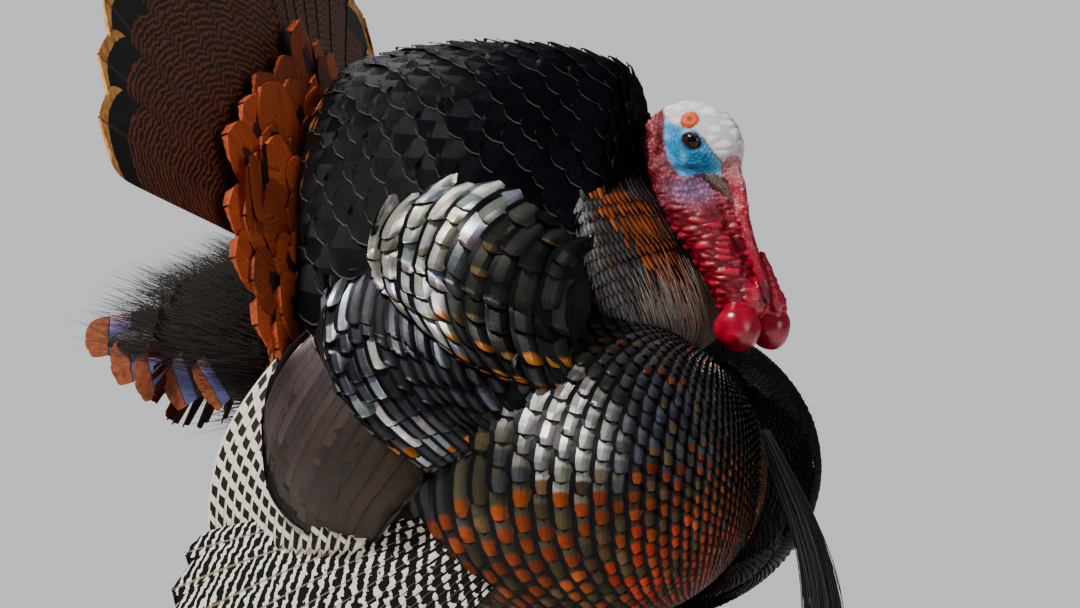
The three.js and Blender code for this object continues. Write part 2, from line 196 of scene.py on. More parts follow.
UNDERTAIL = Tube(
    [[-165, 0, 398], [-230, 0, 392], [-300, 0, 400], [-372, 0, 402]],
    along(118, 122, 110, 66), along(78, 58, 38, 24), 0.1, 0.2)
HOCK, ANKLE, LEG_Y = (-36.0, 150.0), (2.0, 20.0), 74.0
THIGH = Tube(
    [[26, -LEG_Y + 2, 262], [6, -LEG_Y, 208], [HOCK[0] + 8, -LEG_Y, HOCK[1] + 22], [HOCK[0], -LEG_Y, HOCK[1] - 4]],
    along(46, 38, 20, 10), along(54, 42, 21, 11), 0.25, 0.12)
SHANK = Tube(
    [[HOCK[0] - 1, -LEG_Y, HOCK[1] + 4], [HOCK[0] + 9, -LEG_Y, HOCK[1] - 34],
     [ANKLE[0] - 14, -LEG_Y, ANKLE[1] + 46], [ANKLE[0], -LEG_Y, ANKLE[1] - 4]],
    along(9.5, 7, 6.5, 9), along(10.5, 8, 7.5, 10), 0.08, 0.1)
TOES = {"inner": (32, 62), "middle": (2, 84), "outer": (-30, 66), "hind": (172, 34)}
BILL_UPPER = Tube(
    [[176, 0, 547], [192, 0, 541], [204, 0, 530], [210, 0, 515]],
    along(9.5, 8.5, 5.5, 2), along(7, 7, 4.5, 1.6), 0.1, 0.3)
BILL_LOWER = Tube(
    [[170, 0, 540], [184, 0, 531], [196, 0, 521], [203, 0, 514]],
    along(8.5, 7.5, 5, 2), along(4.5, 4.5, 3.5, 1.4), 0.1, 0.3)


def toe(name):
    turn, length = TOES[name]
    cos, sin = math.cos(math.radians(turn)), math.sin(math.radians(turn))
    knuckle, low = TOES["middle"][1] * 0.3, 6.2

    def reach(share):
        return [ANKLE[0] + share * length * cos, -LEG_Y + share * length * sin]

    return Tube(
        [[ANKLE[0], -LEG_Y, ANKLE[1] - 6], [*reach(min(0.4, knuckle / length)), low + 1.5],
         [*reach(0.72), low - 0.5], [*reach(1), low - 1.2]],
        along(8.5, 7, 6.6, 5.2), along(9, 7.5, 7.5, 5.6), 0.06, 0.12)


class Fan:
    """The tail's fan: r out from its base and angle up from its left side, in degrees."""
    base, sweep_back, lean_back = np.array([-142.0, 0.0, 450.0]), 6.5, 13.0

    def point(self, r, angle):
        side, up = np.cos(np.radians(angle)), np.sin(np.radians(angle))
        sweep, lean = math.tan(math.radians(self.sweep_back)), math.tan(math.radians(self.lean_back))
        back = np.abs(side) * sweep + up * lean
        z = self.base[2] + r * up * math.cos(math.radians(self.lean_back))
        return np.stack([self.base[0] - r * back, r * side, z], -1)


# ---------------------------------------------------------------- meshes


def new_piece(name, points, faces, material, maps=(), values=()):
    """A mesh at the origin from arrays: faces of 3 or 4 corners, UV maps per corner, values per point."""
    mesh = bpy.data.meshes.new(name)
    faces = [f for f in faces if len(f)]
    loops = np.concatenate([f.ravel() for f in faces])
    sizes = np.concatenate([np.full(len(f), f.shape[1]) for f in faces])
    mesh.vertices.add(len(points))
    mesh.vertices.foreach_set("co", metres(points).astype(np.float32).ravel())
    mesh.loops.add(len(loops))
    mesh.loops.foreach_set("vertex_index", loops.astype(np.int32))
    mesh.polygons.add(len(sizes))
    mesh.polygons.foreach_set("loop_start", (np.cumsum(sizes) - sizes).astype(np.int32))
    mesh.polygons.foreach_set("loop_total", sizes.astype(np.int32))
    mesh.polygons.foreach_set("use_smooth", np.ones(len(sizes), bool))
    mesh.update(calc_edges=True)
    for label, uv in maps:
        layer = mesh.uv_layers.new(name=label)
        layer.data.foreach_set("uv", uv[loops].astype(np.float32).ravel())
    for label, value in values:
        value = np.asarray(value, np.float32)
        kind = "FLOAT" if value.ndim == 1 else "FLOAT_COLOR"
        layer = mesh.attributes.new(label, kind, "POINT")
        if value.ndim == 1:
            layer.data.foreach_set("value", value)
        else:
            full = np.ones((len(value), 4), np.float32)
            full[:, :3] = value[:, :3]
            layer.data.foreach_set("color", full.ravel())
    piece = bpy.data.objects.new(name, mesh)
    bpy.context.scene.collection.objects.link(piece)
    mesh.materials.append(material)
    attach(piece, "root")
    return piece


def closed_grid(form, rings, sides, inset=0.0, mirror=False):
    """A form as a closed mesh of quads and two fans, drawn in by inset."""
    t = (1 - np.cos(math.pi * np.arange(1, rings) / rings)) / 2
    angle = 2 * math.pi * np.arange(sides) / sides
    body = form.point(t[:, None], angle[None, :])
    ends = form.point(np.array([0.0, 1.0]), np.array([0.0, 0.0]))
    if inset:
        round_way = np.roll(body, -1, 1) - np.roll(body, 1, 1)
        normal = unit(np.cross(round_way, np.gradient(body, axis=0)))
        if np.einsum("ijk,ijk->", normal, body - body.mean((0, 1))) < 0:
            normal = -normal
        body = body - inset * normal
        ends = ends + inset * unit(ends[::-1] - ends)
    points = np.concatenate([body.reshape(-1, 3), ends])
    k, n = np.arange(rings - 2)[:, None] * sides, np.arange(sides)[None, :]
    m = (n + 1) % sides
    quads = np.stack(np.broadcast_arrays(k + n, k + m, k + sides + m, k + sides + n), -1).reshape(-1, 4)
    n, m = n[0], m[0]
    first, last, top = len(points) - 2, len(points) - 1, (rings - 2) * sides
    caps = np.concatenate([np.stack([np.full(sides, first), m, n], -1),
                           np.stack([np.full(sides, last), top + n, top + m], -1)])
    if mirror:
        points = points * [1, -1, 1]
    return points, outward(points, [quads, caps])


def outward(points, faces):
    """Turns every face round if the closed mesh is inside out."""
    volume = 0.0
    for f in faces:
        p = points[f]
        volume += np.einsum("ij,ij->", p[:, 0], np.cross(p[:, 1], p[:, 2]))
        if f.shape[1] == 4:
            volume += np.einsum("ij,ij->", p[:, 0], np.cross(p[:, 2], p[:, 3]))
    return faces if volume > 0 else [f[:, ::-1] for f in faces]


def join(parts):
    """Joins (points, [faces...]) into one."""
    points, quads, triangles, start = [], [], [], 0
    for p, faces in parts:
        points.append(p)
        for f in faces:
            (quads if f.shape[1] == 4 else triangles).append(f + start)
        start += len(p)
    gathered = [np.concatenate(g) for g in (quads, triangles) if g]
    return np.concatenate(points), gathered


def plain_object(points, faces):
    mesh = bpy.data.meshes.new("form")
    loops = np.concatenate([f.ravel() for f in faces])
    sizes = np.concatenate([np.full(len(f), f.shape[1]) for f in faces])
    mesh.vertices.add(len(points))
    mesh.vertices.foreach_set("co", points.astype(np.float32).ravel())
    mesh.loops.add(len(loops))
    mesh.loops.foreach_set("vertex_index", loops.astype(np.int32))
    mesh.polygons.add(len(sizes))
    mesh.polygons.foreach_set("loop_start", (np.cumsum(sizes) - sizes).astype(np.int32))
    mesh.polygons.foreach_set("loop_total", sizes.astype(np.int32))
    mesh.update(calc_edges=True)
    shown = bpy.data.objects.new("form", mesh)
    bpy.context.scene.collection.objects.link(shown)
    return shown


def one_surface(forms, voxel, smoothing):
    """One closed surface round several closed forms, in millimetres."""
    shown = plain_object(*join(forms))
    remesh = shown.modifiers.new("remesh", "REMESH")
    remesh.mode, remesh.voxel_size = "VOXEL", voxel
    if smoothing:
        soften = shown.modifiers.new("soften", "SMOOTH")
        soften.factor, soften.iterations = 0.5, smoothing
    made = shown.evaluated_get(bpy.context.evaluated_depsgraph_get()).to_mesh()
    points = np.zeros(len(made.vertices) * 3)
    made.vertices.foreach_get("co", points)
    normals = np.zeros(len(made.vertices) * 3)
    made.vertices.foreach_get("normal", normals)
    sizes = np.zeros(len(made.polygons), int)
    made.polygons.foreach_get("loop_total", sizes)
    loops = np.zeros(sizes.sum(), int)
    made.loops.foreach_get("vertex_index", loops)
    starts = np.cumsum(sizes) - sizes
    faces = [loops[starts[sizes == n][:, None] + np.arange(n)] for n in (4, 3) if (sizes == n).any()]
    old = shown.data
    bpy.data.objects.remove(shown)
    bpy.data.meshes.remove(old)
    return points.reshape(-1, 3), normals.reshape(-1, 3), faces


def unwrap(points):
    """The place of body points on an unwrap of the body, as longitude and latitude about its middle."""
    d = unit(points - np.array([-20.0, 0.0, 380.0]))
    longitude = np.arctan2(d[..., 1], -d[..., 0]) / (2 * math.pi) + 0.5
    latitude = np.arcsin(np.clip(d[..., 2], -1, 1)) / math.pi + 0.5
    return np.stack([0.01 + 0.98 * longitude, 0.01 + 0.98 * latitude], -1)


# ---------------------------------------------------------------- materials


def nodes_of(name):
    material = bpy.data.materials.new(name)
    material.use_nodes = True
    return material, material.node_tree.nodes, material.node_tree.links


def add(nodes, kind, **settings):
    node = nodes.new("ShaderNode" + kind)
    for key, value in settings.items():
        if key in node.inputs:
            node.inputs[key].default_value = value
        else:
            setattr(node, key, value)
    return node


def math_node(nodes, links, operation, a, b=None, c=None):
    node = nodes.new("ShaderNodeMath")
    node.operation = operation
    for socket, value in zip(node.inputs, (a, b, c)):
        if value is None:
            continue
        if isinstance(value, (int, float)):
            socket.default_value = value
        else:
            links.new(value, socket)
    return node.outputs[0]


def ramp(nodes, links, value, stops):
    node = nodes.new("ShaderNodeValToRGB")
    while len(node.color_ramp.elements) < len(stops):
        node.color_ramp.elements.new(0.5)
    for element, (place, level) in zip(node.color_ramp.elements, stops):
        element.position = place
        element.color = (level, level, level, 1) if isinstance(level, (int, float)) else (*level, 1)
    links.new(value, node.inputs[0])
    return node.outputs[0]


def blend(nodes, links, factor, a, b, kind="MIX"):
    node = nodes.new("ShaderNodeMix")
    node.data_type, node.blend_type = "RGBA", kind
    for index, value in ((0, factor), (6, a), (7, b)):
        if isinstance(value, (int, float)):
            node.inputs[index].default_value = value
        elif isinstance(value, tuple):
            node.inputs[index].default_value = (*value, 1)
        else:
            links.new(value, node.inputs[index])
    return node.outputs[2]


def shaded_by(nodes, links, colour, shade):
    """A colour times a grey level."""
    grey = nodes.new("ShaderNodeCombineColor")
    for socket in grey.inputs:
        links.new(shade, socket)
    return blend(nodes, links, 1.0, colour, grey.outputs[0], "MULTIPLY")


def vane_places(nodes, links):
    """How far across a vane, how far along it, and how far off its shaft a point is."""
    uv = add(nodes, "UVMap", uv_map="vane")
    split = nodes.new("ShaderNodeSeparateXYZ")
    links.new(uv.outputs[0], split.inputs[0])
    across = split.outputs[0]
    return across, split.outputs[1], math_node(nodes, links, "ABSOLUTE", math_node(nodes, links, "SUBTRACT", across, 0.5))


def vane_material(name, roughness=0.34, metallic=0.35, margin=0.0, tip_line=0.0, covered_shade=0.0, barb=0.5,
                  edge=(0.006, 0.006, 0.008), specular=0.5, lustre=0.0):
    """A feather: its ground and tip tints come with the mesh, and barbs, shaft and margins are drawn here."""
    material, nodes, links = nodes_of(name)
    shader = nodes["Principled BSDF"]
    across, along_vane, off_shaft = vane_places(nodes, links)
    ground, tip = add(nodes, "Attribute", attribute_name="ground"), add(nodes, "Attribute", attribute_name="tip")
    seed = add(nodes, "Attribute", attribute_name="seed")
    # the tip's colour starts along a slightly bowed line
    bow = math_node(nodes, links, "MULTIPLY_ADD", off_shaft, -0.12, along_vane)
    start = add(nodes, "Attribute", attribute_name="band").outputs["Fac"]
    band = math_node(nodes, links, "MULTIPLY", math_node(nodes, links, "SUBTRACT", bow, start), 18.0)
    band = math_node(nodes, links, "MINIMUM", math_node(nodes, links, "MAXIMUM", band, 0.0), 1.0)
    colour = blend(nodes, links, band, ground.outputs["Color"], tip.outputs["Color"])
    place = nodes.new("ShaderNodeTexCoord")
    if lustre:
        # patches of mauve and green play over the vane
        play = add(nodes, "TexNoise", Scale=62.0, Detail=2.0)
        links.new(place.outputs["Object"], play.inputs["Vector"])
        hue = ramp(nodes, links, play.outputs[0], [(0.36, (0.80, 0.92, 0.72)), (0.5, (1.0, 0.98, 0.96)),
                                                   (0.64, (0.96, 0.80, 1.06))])
        colour = blend(nodes, links, lustre, colour, blend(nodes, links, 1.0, colour, hue, "MULTIPLY"))
    # barbs slant from the shaft towards the tip
    slant = math_node(nodes, links, "MULTIPLY_ADD", off_shaft, -0.8, along_vane)
    slant = math_node(nodes, links, "ADD", slant, math_node(nodes, links, "MULTIPLY", seed.outputs["Fac"], 3.7))
    barbs = math_node(nodes, links, "SINE", math_node(nodes, links, "MULTIPLY", slant, 190.0))
    mottle = add(nodes, "TexNoise", Scale=260.0, Detail=3.0)
    links.new(place.outputs["Object"], mottle.inputs["Vector"])
    shade = math_node(nodes, links, "MULTIPLY_ADD", barbs, 0.07 * barb, 0.93)
    for factor, low, high in ((mottle.outputs[0], 0.62, 1.32), (seed.outputs["Fac"], 0.66, 1.28)):
        level = math_node(nodes, links, "MULTIPLY_ADD", factor, high - low, low)
        shade = math_node(nodes, links, "MULTIPLY", shade, level)
    shaft = math_node(nodes, links, "LESS_THAN", off_shaft, 0.018)
    shade = math_node(nodes, links, "MULTIPLY", shade, math_node(nodes, links, "MULTIPLY_ADD", shaft, -0.35, 1.0))
    if covered_shade:
        # painted shade: the vane darkens towards the side that its neighbour covers, where the neighbour's shadow
        # falls
        level = ramp(nodes, links, across, [(0.0, 0.75), (0.3, 1.0), (0.45, 1.0), (0.72, 1.0 - covered_shade)])
        shade = math_node(nodes, links, "MULTIPLY", shade, level)
    colour = shaded_by(nodes, links, colour, shade)
    if margin or tip_line:
        # a dark margin down the side that lies on its neighbour, and across the tip
        side = math_node(nodes, links, "LESS_THAN", across, margin)
        end = math_node(nodes, links, "GREATER_THAN", along_vane, 1.0 - tip_line * 0.6)
        colour = blend(nodes, links, math_node(nodes, links, "MAXIMUM", side, end), colour, edge)
    links.new(colour, shader.inputs["Base Color"])
    shader.inputs["Roughness"].default_value = roughness
    shader.inputs["Metallic"].default_value = metallic
    shader.inputs["Specular IOR Level"].default_value = specular
    bump = add(nodes, "Bump", Strength=0.25, Distance=0.0006)
    links.new(barbs, bump.inputs["Height"])
    links.new(bump.outputs[0], shader.inputs["Normal"])
    return material


def line_material(name, roughness=0.5, metallic=0.0, variation=0.5):
    """Strands of down, bristle or hair-like feather."""
    material, nodes, links = nodes_of(name)
    shader = nodes["Principled BSDF"]
    place = nodes.new("ShaderNodeTexCoord")
    streak = add(nodes, "TexNoise", Scale=150.0, Detail=2.0)
    links.new(place.outputs["Object"], streak.inputs["Vector"])
    tint = add(nodes, "Attribute", attribute_name="ground")
    low = math_node(nodes, links, "MULTIPLY_ADD", streak.outputs[0], variation, 1.0 - variation / 2)
    value = nodes.new("ShaderNodeCombineColor")
    for socket in value.inputs:
        links.new(low, socket)
    made = blend(nodes, links, 1.0, tint.outputs["Color"], (1.0, 1.0, 1.0), "MULTIPLY")
    links.new(value.outputs[0], made.node.inputs[7])
    links.new(made, shader.inputs["Base Color"])
    shader.inputs["Roughness"].default_value = roughness
    shader.inputs["Metallic"].default_value = metallic
    return material


# ---------------------------------------------------------------- feathers


def vane_grid(rows, columns):
    """The faces of one closed vane: a top, and an underside that shares its rim."""
    top = np.arange(rows * columns).reshape(rows, columns)
    under = top.copy()
    inner = (rows - 2) * (columns - 2)
    under[1:-1, 1:-1] = rows * columns + np.arange(inner).reshape(rows - 2, columns - 2)

    def quads(grid):
        return np.stack([grid[:-1, :-1], grid[:-1, 1:], grid[1:, 1:], grid[1:, :-1]], -1).reshape(-1, 4)

    return quads(top), quads(under)[:, ::-1], rows * columns + inner


def blunt(s, squareness=6.0, root=0.35):
    """The half-width along a contour feather, from 0 at the root to 1 and round at the tip."""
    rise = np.clip(root + (1 - root) * np.sin(np.clip(s / 0.6, 0, 1) * math.pi / 2), 0, 1)
    return rise * (1 - np.clip(s, 0, 1) ** squareness) ** (1 / 2.2)


def lay(surface, a, b, half, length, out, over=(-1, 0, 0), rows=7, columns=5, shape=blunt, low=-6.0,
        lift=6.0, camber=0.10, roll=0.8, thick=0.5, droop=0.0, wander=0.0, bow=0.03, mirror=False):
    """Feathers on surface(a, b): rooted at (a, b), half as wide in a, and length long in b.

    out gives a direction that tells the outer side. The vane rises by lift from root to tip, and its
    edge towards over lies on its neighbour.
    """
    count = len(a)
    half, length = np.broadcast_to(half, count), np.broadcast_to(length, count)
    s = np.sin(np.linspace(0, 1, rows) * math.pi / 2) ** 0.9
    c = np.linspace(-1, 1, columns)
    width = shape(s)
    width[-1] = max(width[-1], 0.12)
    side = wander * (rng.random(count) - 0.5)
    aa = a[:, None, None] + half[:, None, None] * width[None, :, None] * c + (side[:, None] * s)[:, :, None]
    bb = b[:, None, None] + length[:, None, None] * s[None, :, None] * (1 + bow * (1 - c ** 2))
    p = surface(aa, bb)
    da, db = np.gradient(p, axis=2), np.gradient(p, axis=1)
    normal = unit(np.cross(db, da))
    normal = normal * np.sign(np.einsum("nrck,nrck->n", normal, out(p)))[:, None, None, None]
    top_side = -np.sign(np.einsum("nrck,k->n", da, np.array(over, float)))
    q = top_side[:, None] * c
    real_half = np.linalg.norm(p[:, :, -1] - p[:, :, 0], axis=-1).max(1) / 2
    jitter = 1 + 0.25 * (rng.random(count) - 0.5)
    opened = 0.3 + 0.7 * s
    height = low + lift * (s ** 1.1) * jitter[:, None]
    height = height[:, :, None] + (camber * real_half)[:, None, None] * opened[:, None] * (1 - c ** 2)
    height = height - roll * q[:, None, :] * opened[:, None] - droop * (s ** 4)[:, None]
    top = p + normal * height[..., None]
    depth = thick * ((1 - c ** 2) * np.sin(math.pi * np.clip(s, 0.04, 0.96))[:, None] + 0.15)
    under = top - normal * depth[..., None]
    over_faces, under_faces, size = vane_grid(rows, columns)
    points = np.concatenate([top.reshape(count, -1, 3), under[:, 1:-1, 1:-1].reshape(count, -1, 3)], 1)
    u = np.broadcast_to((q[:, None, :] + 1) / 2, aa.shape)
    uv = np.stack([u, np.broadcast_to(s[:, None], aa.shape)], -1)
    uv = np.concatenate([uv.reshape(count, -1, 2), uv[:, 1:-1, 1:-1].reshape(count, -1, 2)], 1)
    roots = surface(a, b + length * 0.5)
    corners = points[:, over_faces]
    looks = np.cross(corners[:, :, 2] - corners[:, :, 0], corners[:, :, 3] - corners[:, :, 1])
    flip = np.einsum("nfk,nk->n", looks, normal.mean((1, 2))) < 0
    faces = np.broadcast_to(np.concatenate([over_faces, under_faces]), (count, len(over_faces) * 2, 4)).copy()
    if mirror:
        points, roots, flip = points * [1, -1, 1], roots * [1, -1, 1], ~flip
    faces[flip] = faces[flip][:, :, ::-1]
    return {"points": points, "uv": uv, "faces": faces, "roots": roots, "count": count, "size": size}


def in_millimetres(surface, a, b, half, length):
    """How far half and length, in millimetres, reach in a surface's own a and b."""
    step = 1e-3
    per_a = np.linalg.norm(surface(a + step, b) - surface(a - step, b), axis=-1) / (2 * step)
    per_b = np.linalg.norm(surface(a, b + step) - surface(a, b - step), axis=-1) / (2 * step)
    return half / np.maximum(per_a, 1.0), length / np.maximum(per_b, 1.0)


def tinted(batch, ground, tip=None, band=0.8, spread=0.12):
    """Gives each feather of a batch its colours, and where the tip's colour starts."""
    n = batch["count"]
    ground = np.broadcast_to(ground, (n, 3))
    tip = ground if tip is None else np.broadcast_to(tip, (n, 3))
    batch["ground"] = ground * (1 + spread * (rng.random((n, 1)) - 0.5) * 2)
    batch["tip"] = tip * (1 + spread * (rng.random((n, 1)) - 0.5) * 2)
    batch["band"] = np.broadcast_to(band, n) + 0.05 * (rng.random(n) - 0.5)
    return batch


def feather_piece(name, batches, material, cells=False):
    """One mesh of many feathers. With cells, each feather has a patch of its own in the baked map."""
    total = sum(batch["count"] for batch in batches)
    across = math.ceil(math.sqrt(total) * 2.2)
    down = math.ceil(total / across)
    gathered = {key: [] for key in ("points", "faces", "vane", "OFBake", "ground", "tip", "seed", "band")}
    start = placed = 0
    for batch in batches:
        n, size, local = batch["count"], batch["size"], batch["uv"]
        if cells:
            k = placed + np.arange(n)
            corner = np.stack([(k % across + 0.04) / across, (k // across + 0.04) / down], -1)
            patch = corner[:, None] + local * [0.92 / across, 0.92 / down]
        else:
            patch = unwrap(batch["roots"])[:, None] + (local - 0.5) * 0.003
        gathered["points"].append(batch["points"].reshape(-1, 3))
        gathered["faces"].append((batch["faces"] + (start + np.arange(n) * size)[:, None, None]).reshape(-1, 4))
        gathered["vane"].append(local.reshape(-1, 2))
        gathered["OFBake"].append(patch.reshape(-1, 2))
        for key in ("ground", "tip", "band"):
            gathered[key].append(np.repeat(batch[key], size, axis=0))
        gathered["seed"].append(np.repeat(rng.random(n), size))
        start += n * size
        placed += n
    whole = {key: np.concatenate(value) for key, value in gathered.items()}
    piece = new_piece(name, whole["points"], [whole["faces"]], material,
                      maps=[(key, whole[key]) for key in ("OFBake", "vane")],
                      values=[(key, whole[key]) for key in ("ground", "tip", "seed", "band")])
    # a vane is smooth over its faces and sharp round its rim
    piece.data.set_sharp_from_angle(angle=math.radians(60))
    return piece


class Flow:
    """Feather lines over an ellipsoid that leave one point and gather at another, as round a bulge.

    Its coordinates are a, the line, and b, the place along it. Cells are square at every place.
    """

    def __init__(self, form, source, sink, face):
        self.form = form
        self.axis = form.local(form.centre + np.array(face, float))
        self.e1 = unit(np.cross(self.axis, [0.0, 0.3, 1.0]))
        self.e2 = np.cross(self.axis, self.e1)
        self.source, self.sink = self.flat(form.local(source)), self.flat(form.local(sink))

    def flat(self, q):
        return (q @ self.e1 + 1j * (q @ self.e2)) / (1 + q @ self.axis)

    def __call__(self, a, b):
        a, b = np.broadcast_arrays(a, b)
        w = np.exp(b + 1j * a)
        z = (w * self.sink - self.source) / (w - 1 + 1e-9)
        m = np.abs(z) ** 2
        q = (2 * z.real[..., None] * self.e1 + 2 * z.imag[..., None] * self.e2 + (1 - m)[..., None] * self.axis)
        return self.form.towards(q / (1 + m)[..., None])

    def scale(self, a, b):
        return np.linalg.norm(self(a + 0.005, b) - self(a - 0.005, b), axis=-1) / 0.01


class Drape:
    """Feather lines drawn on the flank from the top down, as (across, up) places, and laid onto a form.

    Its coordinates are a, from 0 on the first line to 1 on the last, and b, from 0 at the top to 1.
    """

    def __init__(self, form, *lines):
        self.form, self.lines = form, np.array(lines, float)

    def __call__(self, a, b):
        a, b = np.broadcast_arrays(np.asarray(a, float), np.asarray(b, float))
        count, marks = self.lines.shape[:2]
        place = np.einsum("...i,...j,ijk->...k", basis(count, a), basis(marks, b), self.lines)
        flat = place[..., :1] * ACROSS + place[..., 1:] * [0, 0, 1.0]
        start = ((flat - self.form.centre) @ self.form.turn) / self.form.radii
        way = (TOWARD @ self.form.turn) / self.form.radii
        middle, size = start @ way, way @ way
        room = np.clip(middle ** 2 - size * ((start ** 2).sum(-1) - 1), 0, None)
        return flat + ((np.sqrt(room) - middle) / size)[..., None] * TOWARD


def outermost(p, *forms):
    """Points drawn out, along the view, to whichever of these forms covers them."""
    for form in forms:
        start = ((p - form.centre) @ form.turn) / form.radii
        way = (TOWARD @ form.turn) / form.radii
        middle, size = start @ way, way @ way
        room = middle ** 2 - size * ((start ** 2).sum(-1) - 1)
        rise = (np.sqrt(np.clip(room, 0, None)) - middle) / size
        rise = np.where(room > 0, np.clip(rise, 0, None), 0)
        rise = rise * smooth_step(room, 0, 0.25 * size)
        p = p + rise[..., None] * TOWARD
    return p


def staggered(a_low, a_high, a_step, b_low, b_high, b_step, loose=1.0):
    """Roots in rows, each row half a step on from the last, and each a little out of its place."""
    a, b = [], []
    for k in range(int((b_high - b_low) / b_step) + 1):
        row = np.arange(a_low + (k % 2) * a_step / 2, a_high, a_step)
        a.append(row)
        b.append(np.full(len(row), b_low + k * b_step))
    a, b = np.concatenate(a), np.concatenate(b)
    a = a + a_step * 0.08 * loose * (rng.random(len(a)) - 0.5)
    return a, b + b_step * 0.14 * loose * (rng.random(len(b)) - 0.5)


def in_columns(chart, places, spacing, low=0.0, high=1.0, end=0.0):
    """Roots down each line of a chart, this far apart in millimetres, and none within end of its foot."""
    a, b = [], []
    t = np.linspace(low, high, 80)
    for k, place in enumerate(places):
        p = chart(np.full(80, place), t)
        run = np.concatenate([[0], np.cumsum(np.linalg.norm(np.diff(p, axis=0), axis=1))])
        at = np.arange((k * 0.618 % 1) * spacing * 0.8, max(run[-1] - end, 1), spacing)
        at = at + spacing * 0.15 * (rng.random(len(at)) - 0.5)
        a.append(np.full(len(at), place))
        b.append(np.interp(at, run, t))
    return np.concatenate(a), np.concatenate(b)


def tint(*rgb):
    return np.array(rgb, float)


def breast_colours(p):
    """Olive above with a painted pearl highlight on it, slate in front, copper and red below, each feather with a
    squared tip colour.
    """
    r, z = flank_place(p)
    even = 0 * r
    ground = np.broadcast_to(tint(0.032, 0.027, 0.018), p.shape)
    ground = paint(ground, tint(0.070, 0.063, 0.040), near(p, 30, 312, 95, 78))
    # painted highlight: the pearl patch on the upper breast, over the feathers' own greenish grey
    ground = paint(ground, PEARL * 0.60, near(p, 64, 352, 54, 60))
    ground = paint(ground, SLATE * 0.60, near(p, 165, 375, 70, 78))
    ground = paint(ground, tint(0.040, 0.042, 0.050), near(p, -62, 262, 50, 60) * 0.8)
    ground = paint(ground, tint(0.060, 0.028, 0.012), near(p, 150, 238, 85, 80) * 0.9)
    # painted shade: the ground darkens towards the bottom, on the underside
    ground = paint(ground, tint(0.018, 0.015, 0.008), 1 - smooth_step(z, 190, 250))
    red = near(p, 150, 234, 85, 66)
    low = 1 - smooth_step(z, 296, 352)
    deep = 1 - smooth_step(z, 190, 240)
    rust, ember = tint(0.24, 0.044, 0.011), tint(0.36, 0.075, 0.014)
    tip = choose([rust, ember, BRONZE * 0.5, OLIVE * 0.45, tint(0.42, 0.035, 0.012), SLATE * 0.5],
                 [1.7 * low * (1 - deep) + 0.10, 0.8 * low * (1 - deep) + 0.03, 0.5 + even, 0.55 + even, 2.6 * red,
                  0.9 * (1 - low)])
    # the tips around the painted highlight take a darker share of its colour
    tip = paint(tip, ground * 0.7, near(p, 72, 378, 78, 58) * 0.9)
    return ground, tip, 0.66 - 0.05 * red


SILVER, PEARL, OLIVE = tint(0.50, 0.47, 0.41), tint(0.72, 0.71, 0.68), tint(0.15, 0.12, 0.055)
COPPER, RED_COPPER, BRONZE = tint(0.50, 0.15, 0.035), tint(0.55, 0.06, 0.02), tint(0.22, 0.13, 0.06)
SLATE, BLACK, GOLD = tint(0.12, 0.13, 0.16), tint(0.010, 0.010, 0.013), tint(0.62, 0.30, 0.04)
GREEN_SILVER, BLUE_SILVER = tint(0.36, 0.41, 0.36), tint(0.36, 0.42, 0.50)


def away_from(*middle):
    """The direction out of a body with this middle."""
    return lambda p: p - np.array(middle, float)


def facing(*direction):
    return lambda p: np.broadcast_to(np.array(direction, float), p.shape)


# The view from the bird's right and a little ahead of it: ACROSS runs to its right-hand side.
VIEW_TURN = math.radians(18)
TOWARD = np.array([math.sin(VIEW_TURN), -math.cos(VIEW_TURN), 0.0])
ACROSS = np.array([math.cos(VIEW_TURN), math.sin(VIEW_TURN), 0.0])


def flank_place(p):
    """Where a point of either side shows on the bird's flank: along the view's right, and up."""
    x, y, z = p[..., 0], -np.abs(p[..., 1]), p[..., 2]
    return ACROSS[0] * x + ACROSS[1] * y, z


def on_right(p):
    """Places, with those on the left side mirrored to the right."""
    return np.stack([p[..., 0], -np.abs(p[..., 1]), p[..., 2]], -1)


def near(p, across, up, wide, high):
    """1 in the middle of an oval on the flank, falling to 0 at its rim and beyond."""
    r, z = flank_place(p)
    return smooth_step(1 - ((r - across) / wide) ** 2 - ((z - up) / high) ** 2, 0, 0.7)


def off_path(across, up, start, end):
    """How far places on the flank are from the line between two others."""
    way = np.array(end, float) - start
    at = np.clip(((across - start[0]) * way[0] + (up - start[1]) * way[1]) / (way @ way), 0, 1)
    return np.hypot(across - start[0] - at * way[0], up - start[1] - at * way[1])


def choose(options, weights):
    """One of several colours for each feather, picked by weight."""
    total = np.cumsum(np.stack(np.broadcast_arrays(*weights), -1), -1)
    pick = rng.random(len(total)) * total[:, -1]
    return np.array(options)[(pick[:, None] > total).sum(-1)]


def paint(base, colour, amount):
    return base + (np.asarray(colour) - base) * np.clip(amount, 0, 1)[:, None]


# ---------------------------------------------------------------- skin


def head_form():
    class Head:
        @staticmethod
        def point(t, angle):
            t, angle = np.broadcast_arrays(t, angle)
            ring, upward = round_ends(t, 0.5, 0.5), 2 * t - 1
            forward, sideways = np.cos(angle) * ring, np.sin(angle) * ring
            throat = np.maximum(0, 0.35 * forward - 0.94 * upward)
            stretch = 1 + 0.14 * throat ** 2
            flat = 1 - 0.16 * np.maximum(0, upward) ** 2
            local = np.stack([45 * forward * stretch, 22 * sideways * flat, 37 * upward * stretch], -1)
            return HEAD_CENTRE + local

    return Head


def skin_of_body():
    forms = [closed_grid(Trunk(), 40, 48, 10)]
    for form, inset in ((BREAST, 6), (SCAPULARS, 10), (COVERTS, 10), (TERTIALS, 10), (THIGH, 5)):
        forms += [closed_grid(form, 30, 40, inset, mirror) for mirror in (False, True)]
    forms += [closed_grid(COLLAR, 40, 40, 9), closed_grid(UNDERTAIL, 24, 32, 20)]
    return one_surface(forms, 7.0, 4)


